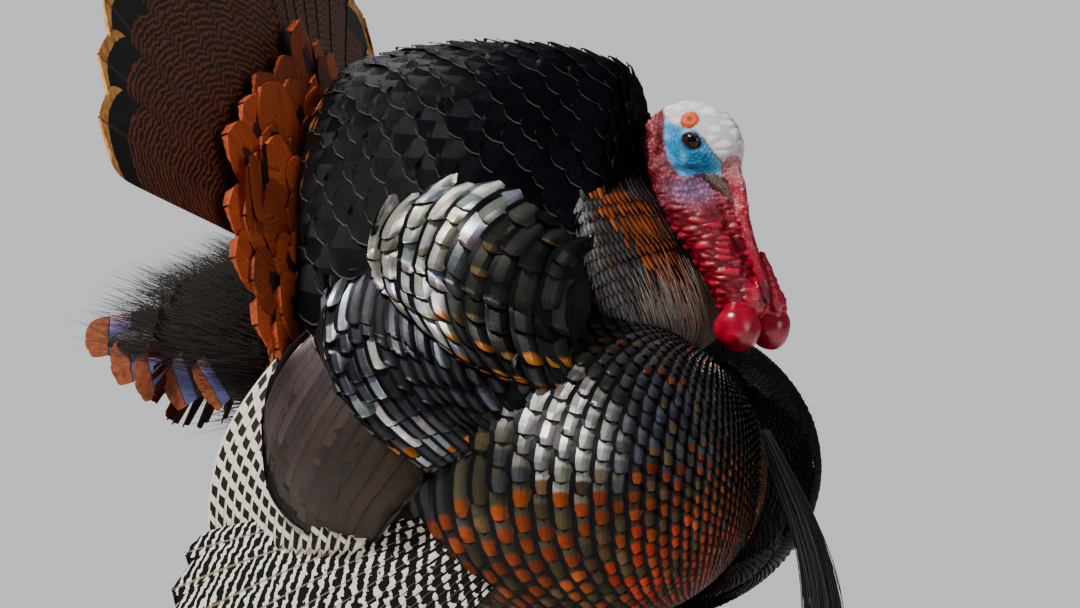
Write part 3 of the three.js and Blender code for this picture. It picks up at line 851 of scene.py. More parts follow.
def skin_of_legs():
    forms = []
    for mirror in (False, True):
        forms.append(closed_grid(SHANK, 40, 20, 0, mirror))
        forms.append(closed_grid(Ellipsoid([2, -74, 12], [11, 10, 9]), 12, 16, 0, mirror))
        forms += [closed_grid(toe(name), 30, 16, 0, mirror) for name in TOES]
    return one_surface(forms, 1.9, 2)


def skin_of_head():
    forms = [closed_grid(head_form(), 60, 64), closed_grid(NECK, 60, 48), closed_grid(SNOOD, 50, 20),
             closed_grid(THROAT, 30, 20), closed_grid(WATTLE_RIGHT, 30, 32), closed_grid(WATTLE_LEFT, 30, 32),
             closed_grid(Ellipsoid([204, 0, 492], [17, 11, 40], pitch=-22), 24, 24),
             closed_grid(Ellipsoid([196, 0, 517], [15, 8, 26], pitch=-30), 24, 24),
             closed_grid(Ellipsoid([222, -5, 442], [16, 17, 20], pitch=-20), 24, 24),
             closed_grid(Ellipsoid([237, 13, 432], [13, 12, 19]), 24, 24)]
    return one_surface(forms, 1.25, 3)


WHITE, ICE, TURQUOISE = tint(0.64, 0.61, 0.61), tint(0.20, 0.47, 0.66), tint(0.016, 0.25, 0.56)
LILAC, CRIMSON, DARK_RED = tint(0.30, 0.16, 0.30), tint(0.36, 0.000, 0.022), tint(0.12, 0.002, 0.010)
PINK, ORANGE_SPOT, DUSK = tint(0.46, 0.09, 0.13), tint(0.55, 0.08, 0.02), tint(0.012, 0.012, 0.02)
CROWN_EDGE = along(596, 591, 586.5, 584.5, 583, 579, 570, 559, 551)  # its height, over X 148 to 204
FACE_REAR = along(172, 166, 160, 155, 153, 151.5, 151, 151, 151)  # its place in X, over Z 536 to 600


def pebbles(points, spacing, stretch=(1, 1, 1)):
    """Rounded lumps of about this spacing, from 0 in the furrows to 1 on top."""
    scale = 1 / (spacing * np.array(stretch, float))
    found = [noise.voronoi(Vector(p))[0] for p in points * scale]
    first, second = np.array([f[0] for f in found]), np.array([f[1] for f in found])
    return smooth_step(second - first, 0.0, 0.55)


def waves(points, spacing):
    return np.array([noise.noise(Vector(p)) for p in points / spacing])


def head_relief(points, normals):
    """The folds, lids and colours of the head: its moved points, and a colour for each."""
    x, y, z = points.T
    # the sides draw in towards the bill
    narrow = smooth_step(x, 168, 188) * (1 - smooth_step(z, 544, 566)) * smooth_step(z, 512, 530)
    points = points * np.stack([1 + 0 * x, 1 - 0.42 * narrow, 1 + 0 * x], -1)
    y = points[:, 1]
    side = np.abs(y)
    near_wattle = np.minimum(np.linalg.norm((points - WATTLE_RIGHT.centre) / WATTLE_RIGHT.radii, axis=1),
                             np.linalg.norm((points - WATTLE_LEFT.centre) / WATTLE_LEFT.radii, axis=1))
    wattle = 1 - smooth_step(near_wattle, 1.02, 1.16)
    snood_t = np.clip((556 - z) / 120, 0, 1)
    snood_middle = SNOOD.middle(snood_t)
    on_snood = (np.linalg.norm(points - snood_middle, axis=1) < SNOOD.width(snood_t) + 3.0) & (x > 196)
    down_neck = np.clip((575 - z) / 150, 0, 1)
    crown = smooth_step(z - CROWN_EDGE((x - 148) / 56), -1.5, 1.5) * smooth_step(x, 146, 150)
    crown = np.maximum(crown, smooth_step(x, 200, 203) * smooth_step(z, 549, 552))
    rear = FACE_REAR((z - 536) / 64)
    low_edge = np.where(x < 176, 536 + (176 - x) * 0.1 + 6, 545 - (x - 176) * 0.08)
    face = smooth_step(x - rear, -1, 1.5) * smooth_step(z - low_edge, -1.5, 1.5) * (1 - crown)
    face = face * smooth_step(204 - x, 0, 2)
    big, small = pebbles(points, 8.0, (2.3, 2.3, 0.70)), pebbles(points, 3.6)
    crown_lumps, fine = pebbles(points, 11.0, (1.5, 1.0, 0.8)), pebbles(points, 2.4)
    wander, drift = waves(points, 9.0), waves(points + 50, 16.0)
    from_eye = np.hypot(x - EYE_CENTRE[0], z - EYE_CENTRE[2])
    rings = 0.5 + 0.5 * np.sin(from_eye * 2 * math.pi / 3.0 + wander * 4)
    neck = np.clip(1 - crown - face, 0, 1) * (1 - wattle)
    coarse = smooth_step(down_neck, 0.12, 0.4)
    height = crown * (0.9 * crown_lumps + 0.25 * small) + face * (0.7 * rings + 0.4 * small)
    throat = smooth_step(x, 222, 232) * (1 - smooth_step(z, 500, 515))
    lumps = mix(1.2 * small, 1.9 * big + 0.7 * wander + 0.4 * small, coarse)
    height = height + neck * (mix(lumps, 0.9 * drift + 0.8 * big + 0.3 * small, throat) - 0.3)
    height = height + wattle * 1.6 * drift
    height = np.where(on_snood, 0.8 * fine + 0.9 * wander, height)
    # a crease parts the face from the brow and from the cheek
    rim = np.abs(z - CROWN_EDGE((x - 148) / 56))
    height = height - 1.1 * np.exp(-(rim / 1.5) ** 2) * (x < 203) * (side > 8)
    gape = np.hypot((x - 172) / 14, (z - 550) / 2.6)
    height = height - 1.0 * np.exp(-gape ** 2) * (side > 6)
    spot = np.hypot((x - 174.0) / 8.0, (z - 590.0) / 7.0)
    on_spot = (spot < 1) & (side > 6)
    height = height + 2.0 * np.sqrt(np.clip(1 - spot ** 2, 0, 1)) * (side > 6)
    moved = points + normals * height[:, None]
    # the lids: an edge that stands just over the eye, and an opening that falls behind it
    lean = 0.22 * (x - EYE_CENTRE[0])
    e1, e2 = (x - EYE_CENTRE[0] - 0.6) / 7.2, (z - EYE_CENTRE[2] + lean) / 5.9
    opening = np.hypot(e1, e2)
    reach = np.clip(from_eye / EYE_RADIUS, 0, 1)
    ball = 17.5 + 7.2 * np.sqrt(1 - reach ** 2)
    lid = np.where(opening < 1, ball - 2.6, ball + 1.1 - 1.2 * smooth_step(opening, 1.0, 1.5))
    weight = (1 - smooth_step(opening, 1.25, 1.75)) * (side > 10)
    moved[:, 1] = mix(moved[:, 1], np.sign(y) * np.where(opening < 1, lid, np.maximum(lid, np.abs(moved[:, 1]))), weight)

    # painted shade: the nape is darkest in the furrows between its lumps
    dark = np.clip(0.35 + 0.65 * small, 0, 1)[:, None]
    nape = mix(DARK_RED, PINK, np.clip(wander * 0.9 + 0.35, 0, 1)[:, None])
    colour = mix(DARK_RED * 0.12, nape, np.clip(1.5 * dark - 0.35, 0, 1))
    bright = (1 - smooth_step(z, 488, 540))[:, None]
    # painted shade: the lower neck is darker in the furrows between its folds
    wet = mix(DARK_RED * 0.45, CRIMSON, np.clip(0.05 + 1.0 * big + 0.6 * throat, 0, 1)[:, None])
    wet = mix(wet, PINK, np.clip(wander * 0.5, 0, 1)[:, None] * smooth_step(z, 470, 520)[:, None])
    colour = mix(colour, wet, bright)
    purple = np.exp(-((x - 176) / 17) ** 2 - ((z - 531) / 10) ** 2) * (side > 6)
    colour = mix(colour, mix(LILAC * 0.4, LILAC, small[:, None]), np.clip(1.2 * purple, 0, 1)[:, None])
    blue = mix(TURQUOISE * 0.25, TURQUOISE, np.clip(0.1 + 1.1 * np.minimum(rings + 0.1, small + 0.3), 0, 1)[:, None])
    pale = smooth_step(wander, 0.0, 0.5) * 0.6 + smooth_step(x, 186, 198) * 0.4
    blue = mix(blue, ICE, np.clip(pale, 0, 1)[:, None])
    colour = mix(colour, blue, face[:, None])
    bone = mix(tint(0.36, 0.36, 0.40), WHITE, np.clip(0.1 + 1.1 * crown_lumps, 0, 1)[:, None])
    colour = mix(colour, bone, crown[:, None])
    # painted shade: the crease by the brow and cheek and the corner of the gape are darkened
    crease = np.exp(-(rim / 1.1) ** 2) * (x < 202) * (x > 186) * (side > 8)
    colour = mix(colour, DUSK, np.clip(crease, 0, 1)[:, None] * 0.85)
    colour = mix(colour, DUSK, np.clip(np.exp(-gape ** 2), 0, 1)[:, None] * 0.8 * (side > 6)[:, None])
    rim_of_eye = np.exp(-((opening - 1.10) / 0.17) ** 2) * (side > 10)
    colour = mix(colour, DUSK * 0.6, np.clip(rim_of_eye * 1.3, 0, 1)[:, None])
    centre_spot = smooth_step(spot, 0.15, 0.5)
    colour = mix(colour, mix(ORANGE_SPOT * 0.35, ORANGE_SPOT, (centre_spot * (1 - np.clip(spot, 0, 1) ** 6))[:, None]),
                 on_spot[:, None])
    specks = np.clip((0.25 + 0.75 * smooth_step(wander, -0.2, 0.3)) * smooth_step(fine, 0.3, 0.9) * smooth_step(z, 450, 556), 0, 1)
    flesh = mix(mix(DARK_RED, CRIMSON, 0.45), tint(0.50, 0.30, 0.32), specks[:, None])
    flesh = mix(flesh, tint(0.50, 0.30, 0.32), 0.75 * (smooth_step(z, 528, 554) * (0.4 + 0.6 * fine))[:, None])
    low = (1 - smooth_step(z, 446, 466))[:, None]
    flesh = mix(flesh, tint(0.07, 0.003, 0.015), low * 0.85)
    colour = np.where(on_snood[:, None], flesh, colour)
    shine = mix(CRIMSON * 0.50, CRIMSON * 0.85, np.clip(0.5 + wander, 0, 1)[:, None])
    colour = mix(colour, shine, wattle[:, None])
    return moved, colour


def skin_material():
    material, nodes, links = nodes_of("skin")
    shader = nodes["Principled BSDF"]
    place, colour = nodes.new("ShaderNodeTexCoord"), add(nodes, "Attribute", attribute_name="ground")
    pores = add(nodes, "TexNoise", Scale=700.0, Detail=4.0)
    links.new(place.outputs["Object"], pores.inputs["Vector"])
    shade = math_node(nodes, links, "MULTIPLY_ADD", pores.outputs[0], 0.5, 0.75)
    value = nodes.new("ShaderNodeCombineColor")
    for socket in value.inputs:
        links.new(shade, socket)
    made = blend(nodes, links, 1.0, colour.outputs["Color"], (1.0, 1.0, 1.0), "MULTIPLY")
    links.new(value.outputs[0], made.node.inputs[7])
    links.new(made, shader.inputs["Base Color"])
    wet = add(nodes, "Attribute", attribute_name="wet")
    links.new(math_node(nodes, links, "MULTIPLY_ADD", wet.outputs["Fac"], -0.42, 0.62), shader.inputs["Roughness"])
    links.new(math_node(nodes, links, "MULTIPLY_ADD", wet.outputs["Fac"], 0.45, 0.08),
              shader.inputs["Specular IOR Level"])
    shader.inputs["Subsurface Weight"].default_value = 0.08
    shader.inputs["Subsurface Radius"].default_value = (0.004, 0.0015, 0.001)
    bump = add(nodes, "Bump", Strength=0.3, Distance=0.0006)
    links.new(pores.outputs[0], bump.inputs["Height"])
    links.new(bump.outputs[0], shader.inputs["Normal"])
    return material


def make_skin():
    body, body_normals, body_faces = skin_of_body()
    head, head_normals, head_faces = skin_of_head()
    legs, leg_normals, leg_faces = skin_of_legs()
    head, head_colour = head_relief(head, head_normals)
    scutes = pebbles(legs, 5.0, (1.0, 1.6, 0.8))
    legs = legs + leg_normals * (0.5 * scutes[:, None] - 0.3)
    floor_line = 0.02
    legs[:, 2] = np.maximum(legs[:, 2], floor_line)
    leg_colour = mix(tint(0.16, 0.06, 0.05), tint(0.46, 0.20, 0.18), scutes[:, None])
    # the body skin is near-black: the dark plumage's colour, and painted shade in the gaps between feathers
    body_colour = np.zeros((len(body), 3)) + tint(0.007, 0.006, 0.006)
    points, faces = join([(body, body_faces), (head, head_faces), (legs, leg_faces)])
    sizes = (len(body), len(head), len(legs))
    islands = np.repeat([0, 1, 2], sizes)
    around_neck = np.arctan2(head[:, 1], head[:, 0] - np.interp(head[:, 2], [430, 520, 600], [222, 172, 168]))
    uv = unwrap(points) * [1.0, 0.49]
    on_head = np.stack([(around_neck / (2 * math.pi) + 0.5) * 0.48 + 0.01, 0.51 + 0.48 * (head[:, 2] - 380) / 235], -1)
    on_legs = np.stack([0.51 + 0.24 * (legs[:, 1] > 0) + 0.23 * (legs[:, 0] + 60) / 180, 0.51 + 0.48 * legs[:, 2] / 160], -1)
    uv[islands == 1], uv[islands == 2] = on_head, on_legs
    colour = np.concatenate([body_colour, head_colour, leg_colour])
    wet = np.concatenate([np.zeros(len(body)), 0.20 + 0.45 * (1 - smooth_step(head[:, 2], 450, 560))
                          + 0.35 * (1 - smooth_step(head[:, 2], 434, 448)), np.zeros(len(legs)) + 0.2])
    skin = new_piece("skin", points, faces, skin_material(),
                     maps=[("OFBake", uv)], values=[("ground", colour), ("wet", wet)])
    both = [f"{name}_{side}" for name in ("breast", "thigh", "shank", "foot", "wattle") for side in ("right", "left")]
    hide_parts("trunk", "neck_feathered", "neck_bare", "head", "snood", "throat_caruncles", *both)
    return skin


# ---------------------------------------------------------------- eyes, bill, claws and spurs


def eye_material():
    material, nodes, links = nodes_of("eye")
    shader = nodes["Principled BSDF"]
    gaze = add(nodes, "Attribute", attribute_name="gaze")
    colour = ramp(nodes, links, gaze.outputs["Fac"], [(0.0, (0.006, 0.003, 0.003)), (0.70, (0.020, 0.006, 0.003)),
                                                     (0.84, (0.050, 0.014, 0.006)), (0.88, (0.002, 0.0015, 0.0015)),
                                                     (1.0, (0.001, 0.001, 0.001))])
    links.new(colour, shader.inputs["Base Color"])
    shader.inputs["Roughness"].default_value = 0.08
    shader.inputs["Specular IOR Level"].default_value = 0.25
    return material


def make_eyes():
    material = eye_material()
    for side, mirror in (("right", False), ("left", True)):
        points, faces = closed_grid(Ellipsoid(EYE_CENTRE, [8.5, 7.2, 8.5]), 32, 40, 0, mirror)
        middle = EYE_CENTRE * [1, -1 if mirror else 1, 1]
        look = unit(np.array([0.18, 0.98 if mirror else -0.98, 0.0]))
        gaze = np.clip(unit((points - middle) / [8.5, 7.2, 8.5]) @ look, 0, 1)
        eye = new_piece(f"eyeball_{side}", points, faces, material,
                        maps=[("OFBake", eye_map(points, middle))], values=[("gaze", gaze)])
        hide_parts(f"eye_{side}")


def eye_map(points, middle):
    d = unit(points - middle)
    return np.stack([np.arctan2(d[:, 2], d[:, 0]) / (2 * math.pi) + 0.5, np.arccos(d[:, 1]) / math.pi], -1)


def horn_material(name, dark, light, roughness=0.35, scale=90.0):
    material, nodes, links = nodes_of(name)
    shader = nodes["Principled BSDF"]
    place = nodes.new("ShaderNodeTexCoord")
    streaks = add(nodes, "TexNoise", Scale=scale, Detail=5.0, Distortion=0.6)
    links.new(place.outputs["Object"], streaks.inputs["Vector"])
    colour = ramp(nodes, links, streaks.outputs[0], [(0.36, dark), (0.52, light), (0.66, tuple(v * 0.6 for v in light))])
    links.new(colour, shader.inputs["Base Color"])
    shader.inputs["Roughness"].default_value = roughness
    bump = add(nodes, "Bump", Strength=0.2, Distance=0.0005)
    links.new(streaks.outputs[0], bump.inputs["Height"])
    links.new(bump.outputs[0], shader.inputs["Normal"])
    return material


def tube_map(points, low, high):
    return np.stack([(points[:, 0] - low) / (high - low), 0.5 + points[:, 1] / 100 + points[:, 2] / 400 - 1.0], -1)


def make_bill():
    horn = horn_material("horn", (0.010, 0.007, 0.007), (0.11, 0.078, 0.062), scale=210.0)
    upper = Tube([[170, 0, 549], [186, 0, 544.0], [202, 0, 530], [210, 0, 512]],
                 along(13.5, 11.5, 7.0, 2), along(6.5, 7.5, 5.5, 1.6), 0.1, 0.3)
    lower = Tube([[166, 0, 541], [181, 0, 534.5], [194, 0, 523], [203, 0, 512]],
                 along(12, 10, 6, 1.6), along(4, 4.5, 3.5, 1.4), 0.1, 0.3)
    for name, form in (("bill_upper", upper), ("bill_lower", lower)):
        points, faces = closed_grid(form, 48, 40)
        if name == "bill_upper":
            nostril = np.hypot((points[:, 0] - 187) / 4.2, (points[:, 2] - 547) / 1.8)
            points[:, 1] -= np.sign(points[:, 1]) * 2.2 * np.exp(-nostril ** 2) * (np.abs(points[:, 1]) > 5)
        bill = new_piece(name + "_horn", points, faces, horn, maps=[("OFBake", tube_map(points, 165, 215))])
        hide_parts(name)


def claw_form(name):
    turn, length = TOES[name]
    cos, sin = math.cos(math.radians(turn)), math.sin(math.radians(turn))
    spine = [[ANKLE[0] + r * cos, -LEG_Y + r * sin, z] for r, z in ((length - 3, 6), (length + 7, 6.4), (length + 16, 1.2))]
    return Tube(spine, along(3.6, 3.2, 0.8), along(3.6, 3.2, 0.8), 0.2, 0.25)


def make_claws():
    dark = horn_material("claw_horn", (0.03, 0.024, 0.02), (0.09, 0.07, 0.055), 0.35, 160.0)
    x, y, z = ANKLE[0] - 22, -LEG_Y + 4, 62
    spur = Tube([[x, y, z], [x - 14.4, y + 5, z + 1], [x - 24, y + 8, z + 9]], along(4.6, 3, 0.8), along(4.6, 3, 0.8), 0.15, 0.3)
    forms = {f"claw_{name}": claw_form(name) for name in TOES} | {"spur": spur}
    for name, form in forms.items():
        for side, mirror in (("right", False), ("left", True)):
            points, faces = closed_grid(form, 24, 20, 0, mirror)
            points[:, 2] = np.maximum(points[:, 2], 0.02)
            piece = new_piece(f"{name}_{side}_horn", points, faces, dark,
                              maps=[("OFBake", tube_map(points, -60, 110))])
            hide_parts(f"{name}_{side}")


# ---------------------------------------------------------------- the coat, form by form


def inside_trunk(p, margin):
    """Whether points lie deeper than margin inside the trunk."""
    t = (p[:, 0] - Trunk.rear) / (Trunk.front - Trunk.rear)
    ring = round_ends(np.clip(t, 0.001, 0.999), 0.25, 0.08)
    waist = Trunk.waist(t)
    above = p[:, 2] > waist
    high = np.where(above, Trunk.top(t) - waist, waist - Trunk.bottom(t)) * ring - margin
    wide = Trunk.half_width(t) * ring - margin
    inner = ((p[:, 2] - waist) / np.maximum(high, 1)) ** 2 + (p[:, 1] / np.maximum(wide, 1)) ** 2 < 1
    return inner & (t > 0.02) & (t < 0.97)


def inside(form, p, margin):
    local = ((p - form.centre) @ form.turn) / (form.radii - margin)
    return np.linalg.norm(local, axis=1) < 1


def lay_tract(surface, a, b, keep, half_mm, length_mm, **how):
    a, b = a[keep], b[keep]
    pick = [v[keep] if isinstance(v, np.ndarray) else v for v in (half_mm, length_mm)]
    half, length = in_millimetres(surface, a, b, *pick)
    return lay(surface, a, b, half, length, **how)


def make_breast():
    flow = Flow(BREAST, [215, 0, 395], [200, 0, 180], [0, -1, 0])

    def surface(a, b):
        return outermost(flow(a, b), COVERTS, TERTIALS)

    step = 0.052
    vane = vane_material("breast_vane", roughness=0.33, metallic=0.55, margin=0.22, tip_line=0.09, covered_shade=0.65,
                         specular=0.15, lustre=0.5)
    chosen = []
    for spacing, narrow, wide in ((step, 3.2, 99.0), (2 * step, 2.0, 6.4)):
        a, b = staggered(-math.pi, math.pi, 2 * spacing, -3.2, 3.2, spacing * 0.68, 1.3)
        p, width = flow(a, b), flow.scale(a, b) * spacing
        r, z = flank_place(p)
        covered = r < np.interp(z, [240, 298, 315, 328, 340, 373, 400], [-106, -68, -46, -18, -4, 2, 50])
        keep = (p[:, 1] < 4) & (width > narrow) & (width <= wide) & ~inside_trunk(p, 16) & ~covered
        chosen.append((a[keep], b[keep], p[keep], width[keep]))
    how = dict(out=away_from(98, -60, 296), roll=1.3, camber=0.04, shape=tile)
    for side, mirror in (("right", False), ("left", True)):
        batches = []
        for a, b, p, width in chosen:
            for some, rows, columns, rise in ((width > 9, 6, 5, 4.8), (width <= 9, 4, 3, 2.6)):
                if not some.any():
                    continue
                batch = lay_tract(surface, a, b, some, width * 0.66, width * 2.8, mirror=mirror, rows=rows,
                                  columns=columns, low=0.3 - rise, lift=rise, **how)
                ground, tip, band = breast_colours(p[some])
                if mirror:
                    # the inner face of the far lobe is painted dark: mostly painted shade, over feathers that are dark
                    # there too
                    inner = smooth_step(p[some][:, 0], 165, 215) * smooth_step(p[some][:, 1], -150, -95)
                    ground, tip = paint(ground, BLACK * 2.2, inner), paint(tip, BLACK * 1.6, inner)
                batches.append(tinted(batch, ground, tip, band, spread=0.3))
        feather_piece(f"breast_feathers_{side}", batches, vane)


def make_collar():
    def surface(a, b):
        return COLLAR.point(1 - b, a)

    lines = 84
    a, b = staggered(0, 2 * math.pi, 2 * math.pi / lines, 0.02, 0.93, 0.042)
    p = surface(a, b)
    width = np.linalg.norm(surface(a + 0.01, b) - p, axis=1) / 0.01 * 2 * math.pi / lines
    keep = (width > 2) & ~inside_trunk(p, 14) & ~inside(BREAST, on_right(p), 12)
    vane = vane_material("collar_vane", roughness=0.40, metallic=0.4, margin=0.2, tip_line=0.07, covered_shade=0.5,
                         lustre=0.5)
    batch = lay_tract(surface, a, b, keep, width * 0.80, np.full(len(a), 29.0), out=away_from(108, 0, 500),
                      low=-4.0, lift=4.0, roll=0.7, over=(-1, 0, 0), rows=6, columns=4, shape=narrow_vane)
    q = p[keep]
    r, z = flank_place(on_right(q))
    even = 0 * r
    ground = np.broadcast_to(tint(0.050, 0.040, 0.047), q.shape)
    ground = paint(ground, tint(0.15, 0.10, 0.085), (1 - smooth_step(z, 400, 490)) * smooth_step(r, 95, 140))
    ground = paint(ground, BLACK * 1.2, smooth_step(z, 560, 600))
    # painted shade: the collar's rear, in the gap by the scapulars, is painted black
    ground = paint(ground, BLACK * 1.6, 1 - smooth_step(r, 58, 88))
    warm = np.exp(-(off_path(r, z, (92, 545), (160, 452)) / 20) ** 2)
    lit = warm > 0.30 + 0.6 * rng.random(len(q))
    tip = choose([BRONZE * 0.5, tint(0.075, 0.062, 0.066)], [0.35 + even, 1.4 + even])
    # the same painted shade on the tips there
    tip = paint(tip, BLACK * 2, 1 - smooth_step(r, 58, 88))
    tip = paint(tip, tint(0.50, 0.105, 0.014), lit * 1.0)
    ground = paint(ground, tint(0.20, 0.040, 0.010), lit * 0.8)
    pale = (1 - smooth_step(z, 400, 460)) * smooth_step(r, 100, 140) * (rng.random(len(q)) > 0.5)
    tip = paint(tip, tint(0.28, 0.21, 0.17), pale)
    tinted(batch, ground, tip, band=0.50, spread=0.3)
    feather_piece("collar_feathers", [batch], vane)
    # fine hair-like barbs over the lower front of the collar
    count, steps = 7000, 6
    a, b = 2 * math.pi * rng.random(count), 0.40 + 0.52 * rng.random(count) ** 0.8
    p = surface(a, b)
    r, z = flank_place(on_right(p))
    weight = smooth_step(r, 92, 145) * (1 - smooth_step(z, 425, 490))
    keep = (weight > rng.random(count)) & ~inside(BREAST, on_right(p), 4)
    a, b, count = a[keep], b[keep], int(keep.sum())
    s = np.linspace(0, 1, steps)
    reach = 0.06 + 0.05 * rng.random((count, 1))
    sway = 0.10 * (rng.random((count, 1)) - 0.5)
    lines = surface(a[:, None] + sway * s ** 1.5, np.clip(b[:, None] + reach * s, 0, 0.995))
    out = unit(lines - COLLAR.middle(1 - b)[:, None])
    lines = lines + out * (0.8 + 3.0 * s ** 1.5)[None, :, None]
    pale = mix(tint(0.12, 0.075, 0.06), tint(0.46, 0.39, 0.33), rng.random((count, 1)) ** 1.4)
    strand_piece("collar_barbs", lines, pale, 0.22, 3, line_material("barb", roughness=0.5))


def make_back():
    trunk = Trunk()
    t = np.concatenate([1 - 0.1 * np.linspace(0, 1, 200) ** 2, np.linspace(0.9, 0.0, 160)[1:]])
    ridge = trunk.point(t, np.full(len(t), math.pi / 2))
    run = np.concatenate([[0], np.cumsum(np.linalg.norm(np.diff(ridge, axis=0), axis=1))])

    def surface(a, b):
        """a is the angle round the trunk, and b the way back along its ridge from the nape, in millimetres."""
        return trunk.point(np.interp(b, run, t), a)

    batches = []
    lines = math.pi / 22
    a, b = staggered(-0.35, math.pi + 0.35, lines, 60.0, run[-1] - 34, 15.0, 3.4)
    p = surface(a, b)
    width = np.linalg.norm(surface(a + 0.01, b) - p, axis=1) / 0.01 * lines
    keep = (width > 4) & (b > 60)
    for form in (BREAST, SCAPULARS, COVERTS, TERTIALS):
        for y in (1, -1):
            keep &= ~inside(form, p * [1, y, 1], 14)
    back = lay_tract(surface, a, b, keep, width * 0.66, 46.0, out=away_from(-30, 0, 380), low=-8.0, lift=8.6,
                     roll=0.5, camber=0.0, thick=0.25, over=(0, 0, -1), rows=7, columns=5, shape=round_vane)
    q = p[keep]
    rear = 1 - smooth_step(q[:, 0], -128, -84)
    night = tint(0.0008, 0.0012, 0.0028)
    tinted(back, paint(np.broadcast_to(night, q.shape), tint(0.006, 0.003, 0.002), rear),
           paint(np.broadcast_to(night * 1.4, q.shape), tint(0.26, 0.075, 0.024), rear * (rng.random(len(q)) > 0.25)),
           band=0.93 - 0.10 * rear)
    batches.append(back)
    a, b = staggered(math.pi + 0.3, 2 * math.pi - 0.3, math.pi / 24, 60.0, run[-1] - 40, 26.0)
    p = surface(a, b)
    width = np.linalg.norm(surface(a + 0.01, b) - p, axis=1) / 0.01 * math.pi / 24
    keep = (width > 5) & ~inside(BREAST, p, 14) & ~inside(BREAST, p * [1, -1, 1], 14)
    belly = lay_tract(surface, a, b, keep, width * 0.75, 56.0, out=away_from(-30, 0, 380), low=-6.5, lift=6.5,
                      roll=0.9, rows=6, shape=tile)
    tinted(belly, tint(0.030, 0.020, 0.016), tint(0.09, 0.05, 0.03), band=0.85)
    batches.append(belly)
    vane = vane_material("back_vane", roughness=0.42, metallic=0.0, margin=0.03, edge=(0.050, 0.042, 0.040),
                         specular=0.045, barb=0.2)
    feather_piece("back_feathers", batches, vane)


def long_vane(s):
    return blunt(s, squareness=22.0, root=0.6)


def tile(s):
    return blunt(s, squareness=11.0, root=0.6)


def round_vane(s):
    return blunt(s, squareness=5.0, root=0.5)


def narrow_vane(s):
    return blunt(s, squareness=4.0, root=0.45)


def covert_shape(s):
    """Round at the root, where the feather stands clear of the body, and squared at its tip."""
    s = np.clip(s, 0, 1)
    return np.sqrt(np.clip(1 - (1 - np.minimum(s / 0.22, 1)) ** 2, 0.1, 1)) * (1 - s ** 20) ** 0.45


def make_scapulars():
    chart = Drape(SCAPULARS,
                  [(-92, 526), (-105, 500), (-108, 474), (-100, 448), (-84, 428)],
                  [(-36, 549), (-64, 515), (-74, 473), (-72, 436), (-56, 408)],
                  [(8, 543), (-28, 515), (-51, 473), (-48, 430), (-28, 388)],
                  [(34, 520), (2, 492), (-18, 452), (-18, 412), (4, 374)],
                  [(62, 504), (36, 480), (24, 447), (23, 410), (36, 366)],
                  [(96, 494), (72, 468), (58, 440), (57, 405), (68, 366)])

    def surface(a, b):
        return outermost(chart(a, b), COVERTS)

    vane = vane_material("scapular_vane", roughness=0.30, metallic=0.65, margin=0.17, tip_line=0.06, covered_shade=0.7,
                         specular=0.12, lustre=0.9)
    a, b = in_columns(chart, np.linspace(0, 1, 11), 21.0, 0.0, 1.0, 26.0)
    kept = (a < 0.95) | (b > 0.3)
    a, b = a[kept], b[kept]
    for side, mirror in (("right", False), ("left", True)):
        batch = lay_tract(surface, a, b, a > -1, 12.5, np.full(len(a), 46.0), mirror=mirror,
                          out=away_from(40, -80, 458), shape=covert_shape, rows=10, columns=7,
                          low=-3.0, lift=6.0, roll=2.2, camber=0.04, thick=0.4)
        # silver grounds: the feathers' silvery tone, partly a painted sheen; the right part is painted shade
        ground = choose([PEARL * 0.8, GREEN_SILVER, BLUE_SILVER, SILVER * 0.8], [1.2 + 0 * a, 0.5, 0.9, 0.4])
        shadow = smooth_step(a + 0.25 * b, 0.42, 0.66) * (0.95 + 0.05 * rng.random(len(a)))
        ground = paint(ground, tint(0.014, 0.013, 0.012), shadow)
        warm = (a > 0.35) & (b > 0.50) & (rng.random(len(a)) > 0.30)
        tip = paint(ground * 0.8, tint(0.46, 0.15, 0.018), warm * 0.9)
        tip = paint(tip, BRONZE, (rng.random(len(a)) > 0.75) * 0.6)
        tinted(batch, ground, tip, band=0.80, spread=0.25)
        piece = feather_piece(f"scapular_feathers_{side}", [batch], vane)
        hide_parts(f"scapulars_{side}")


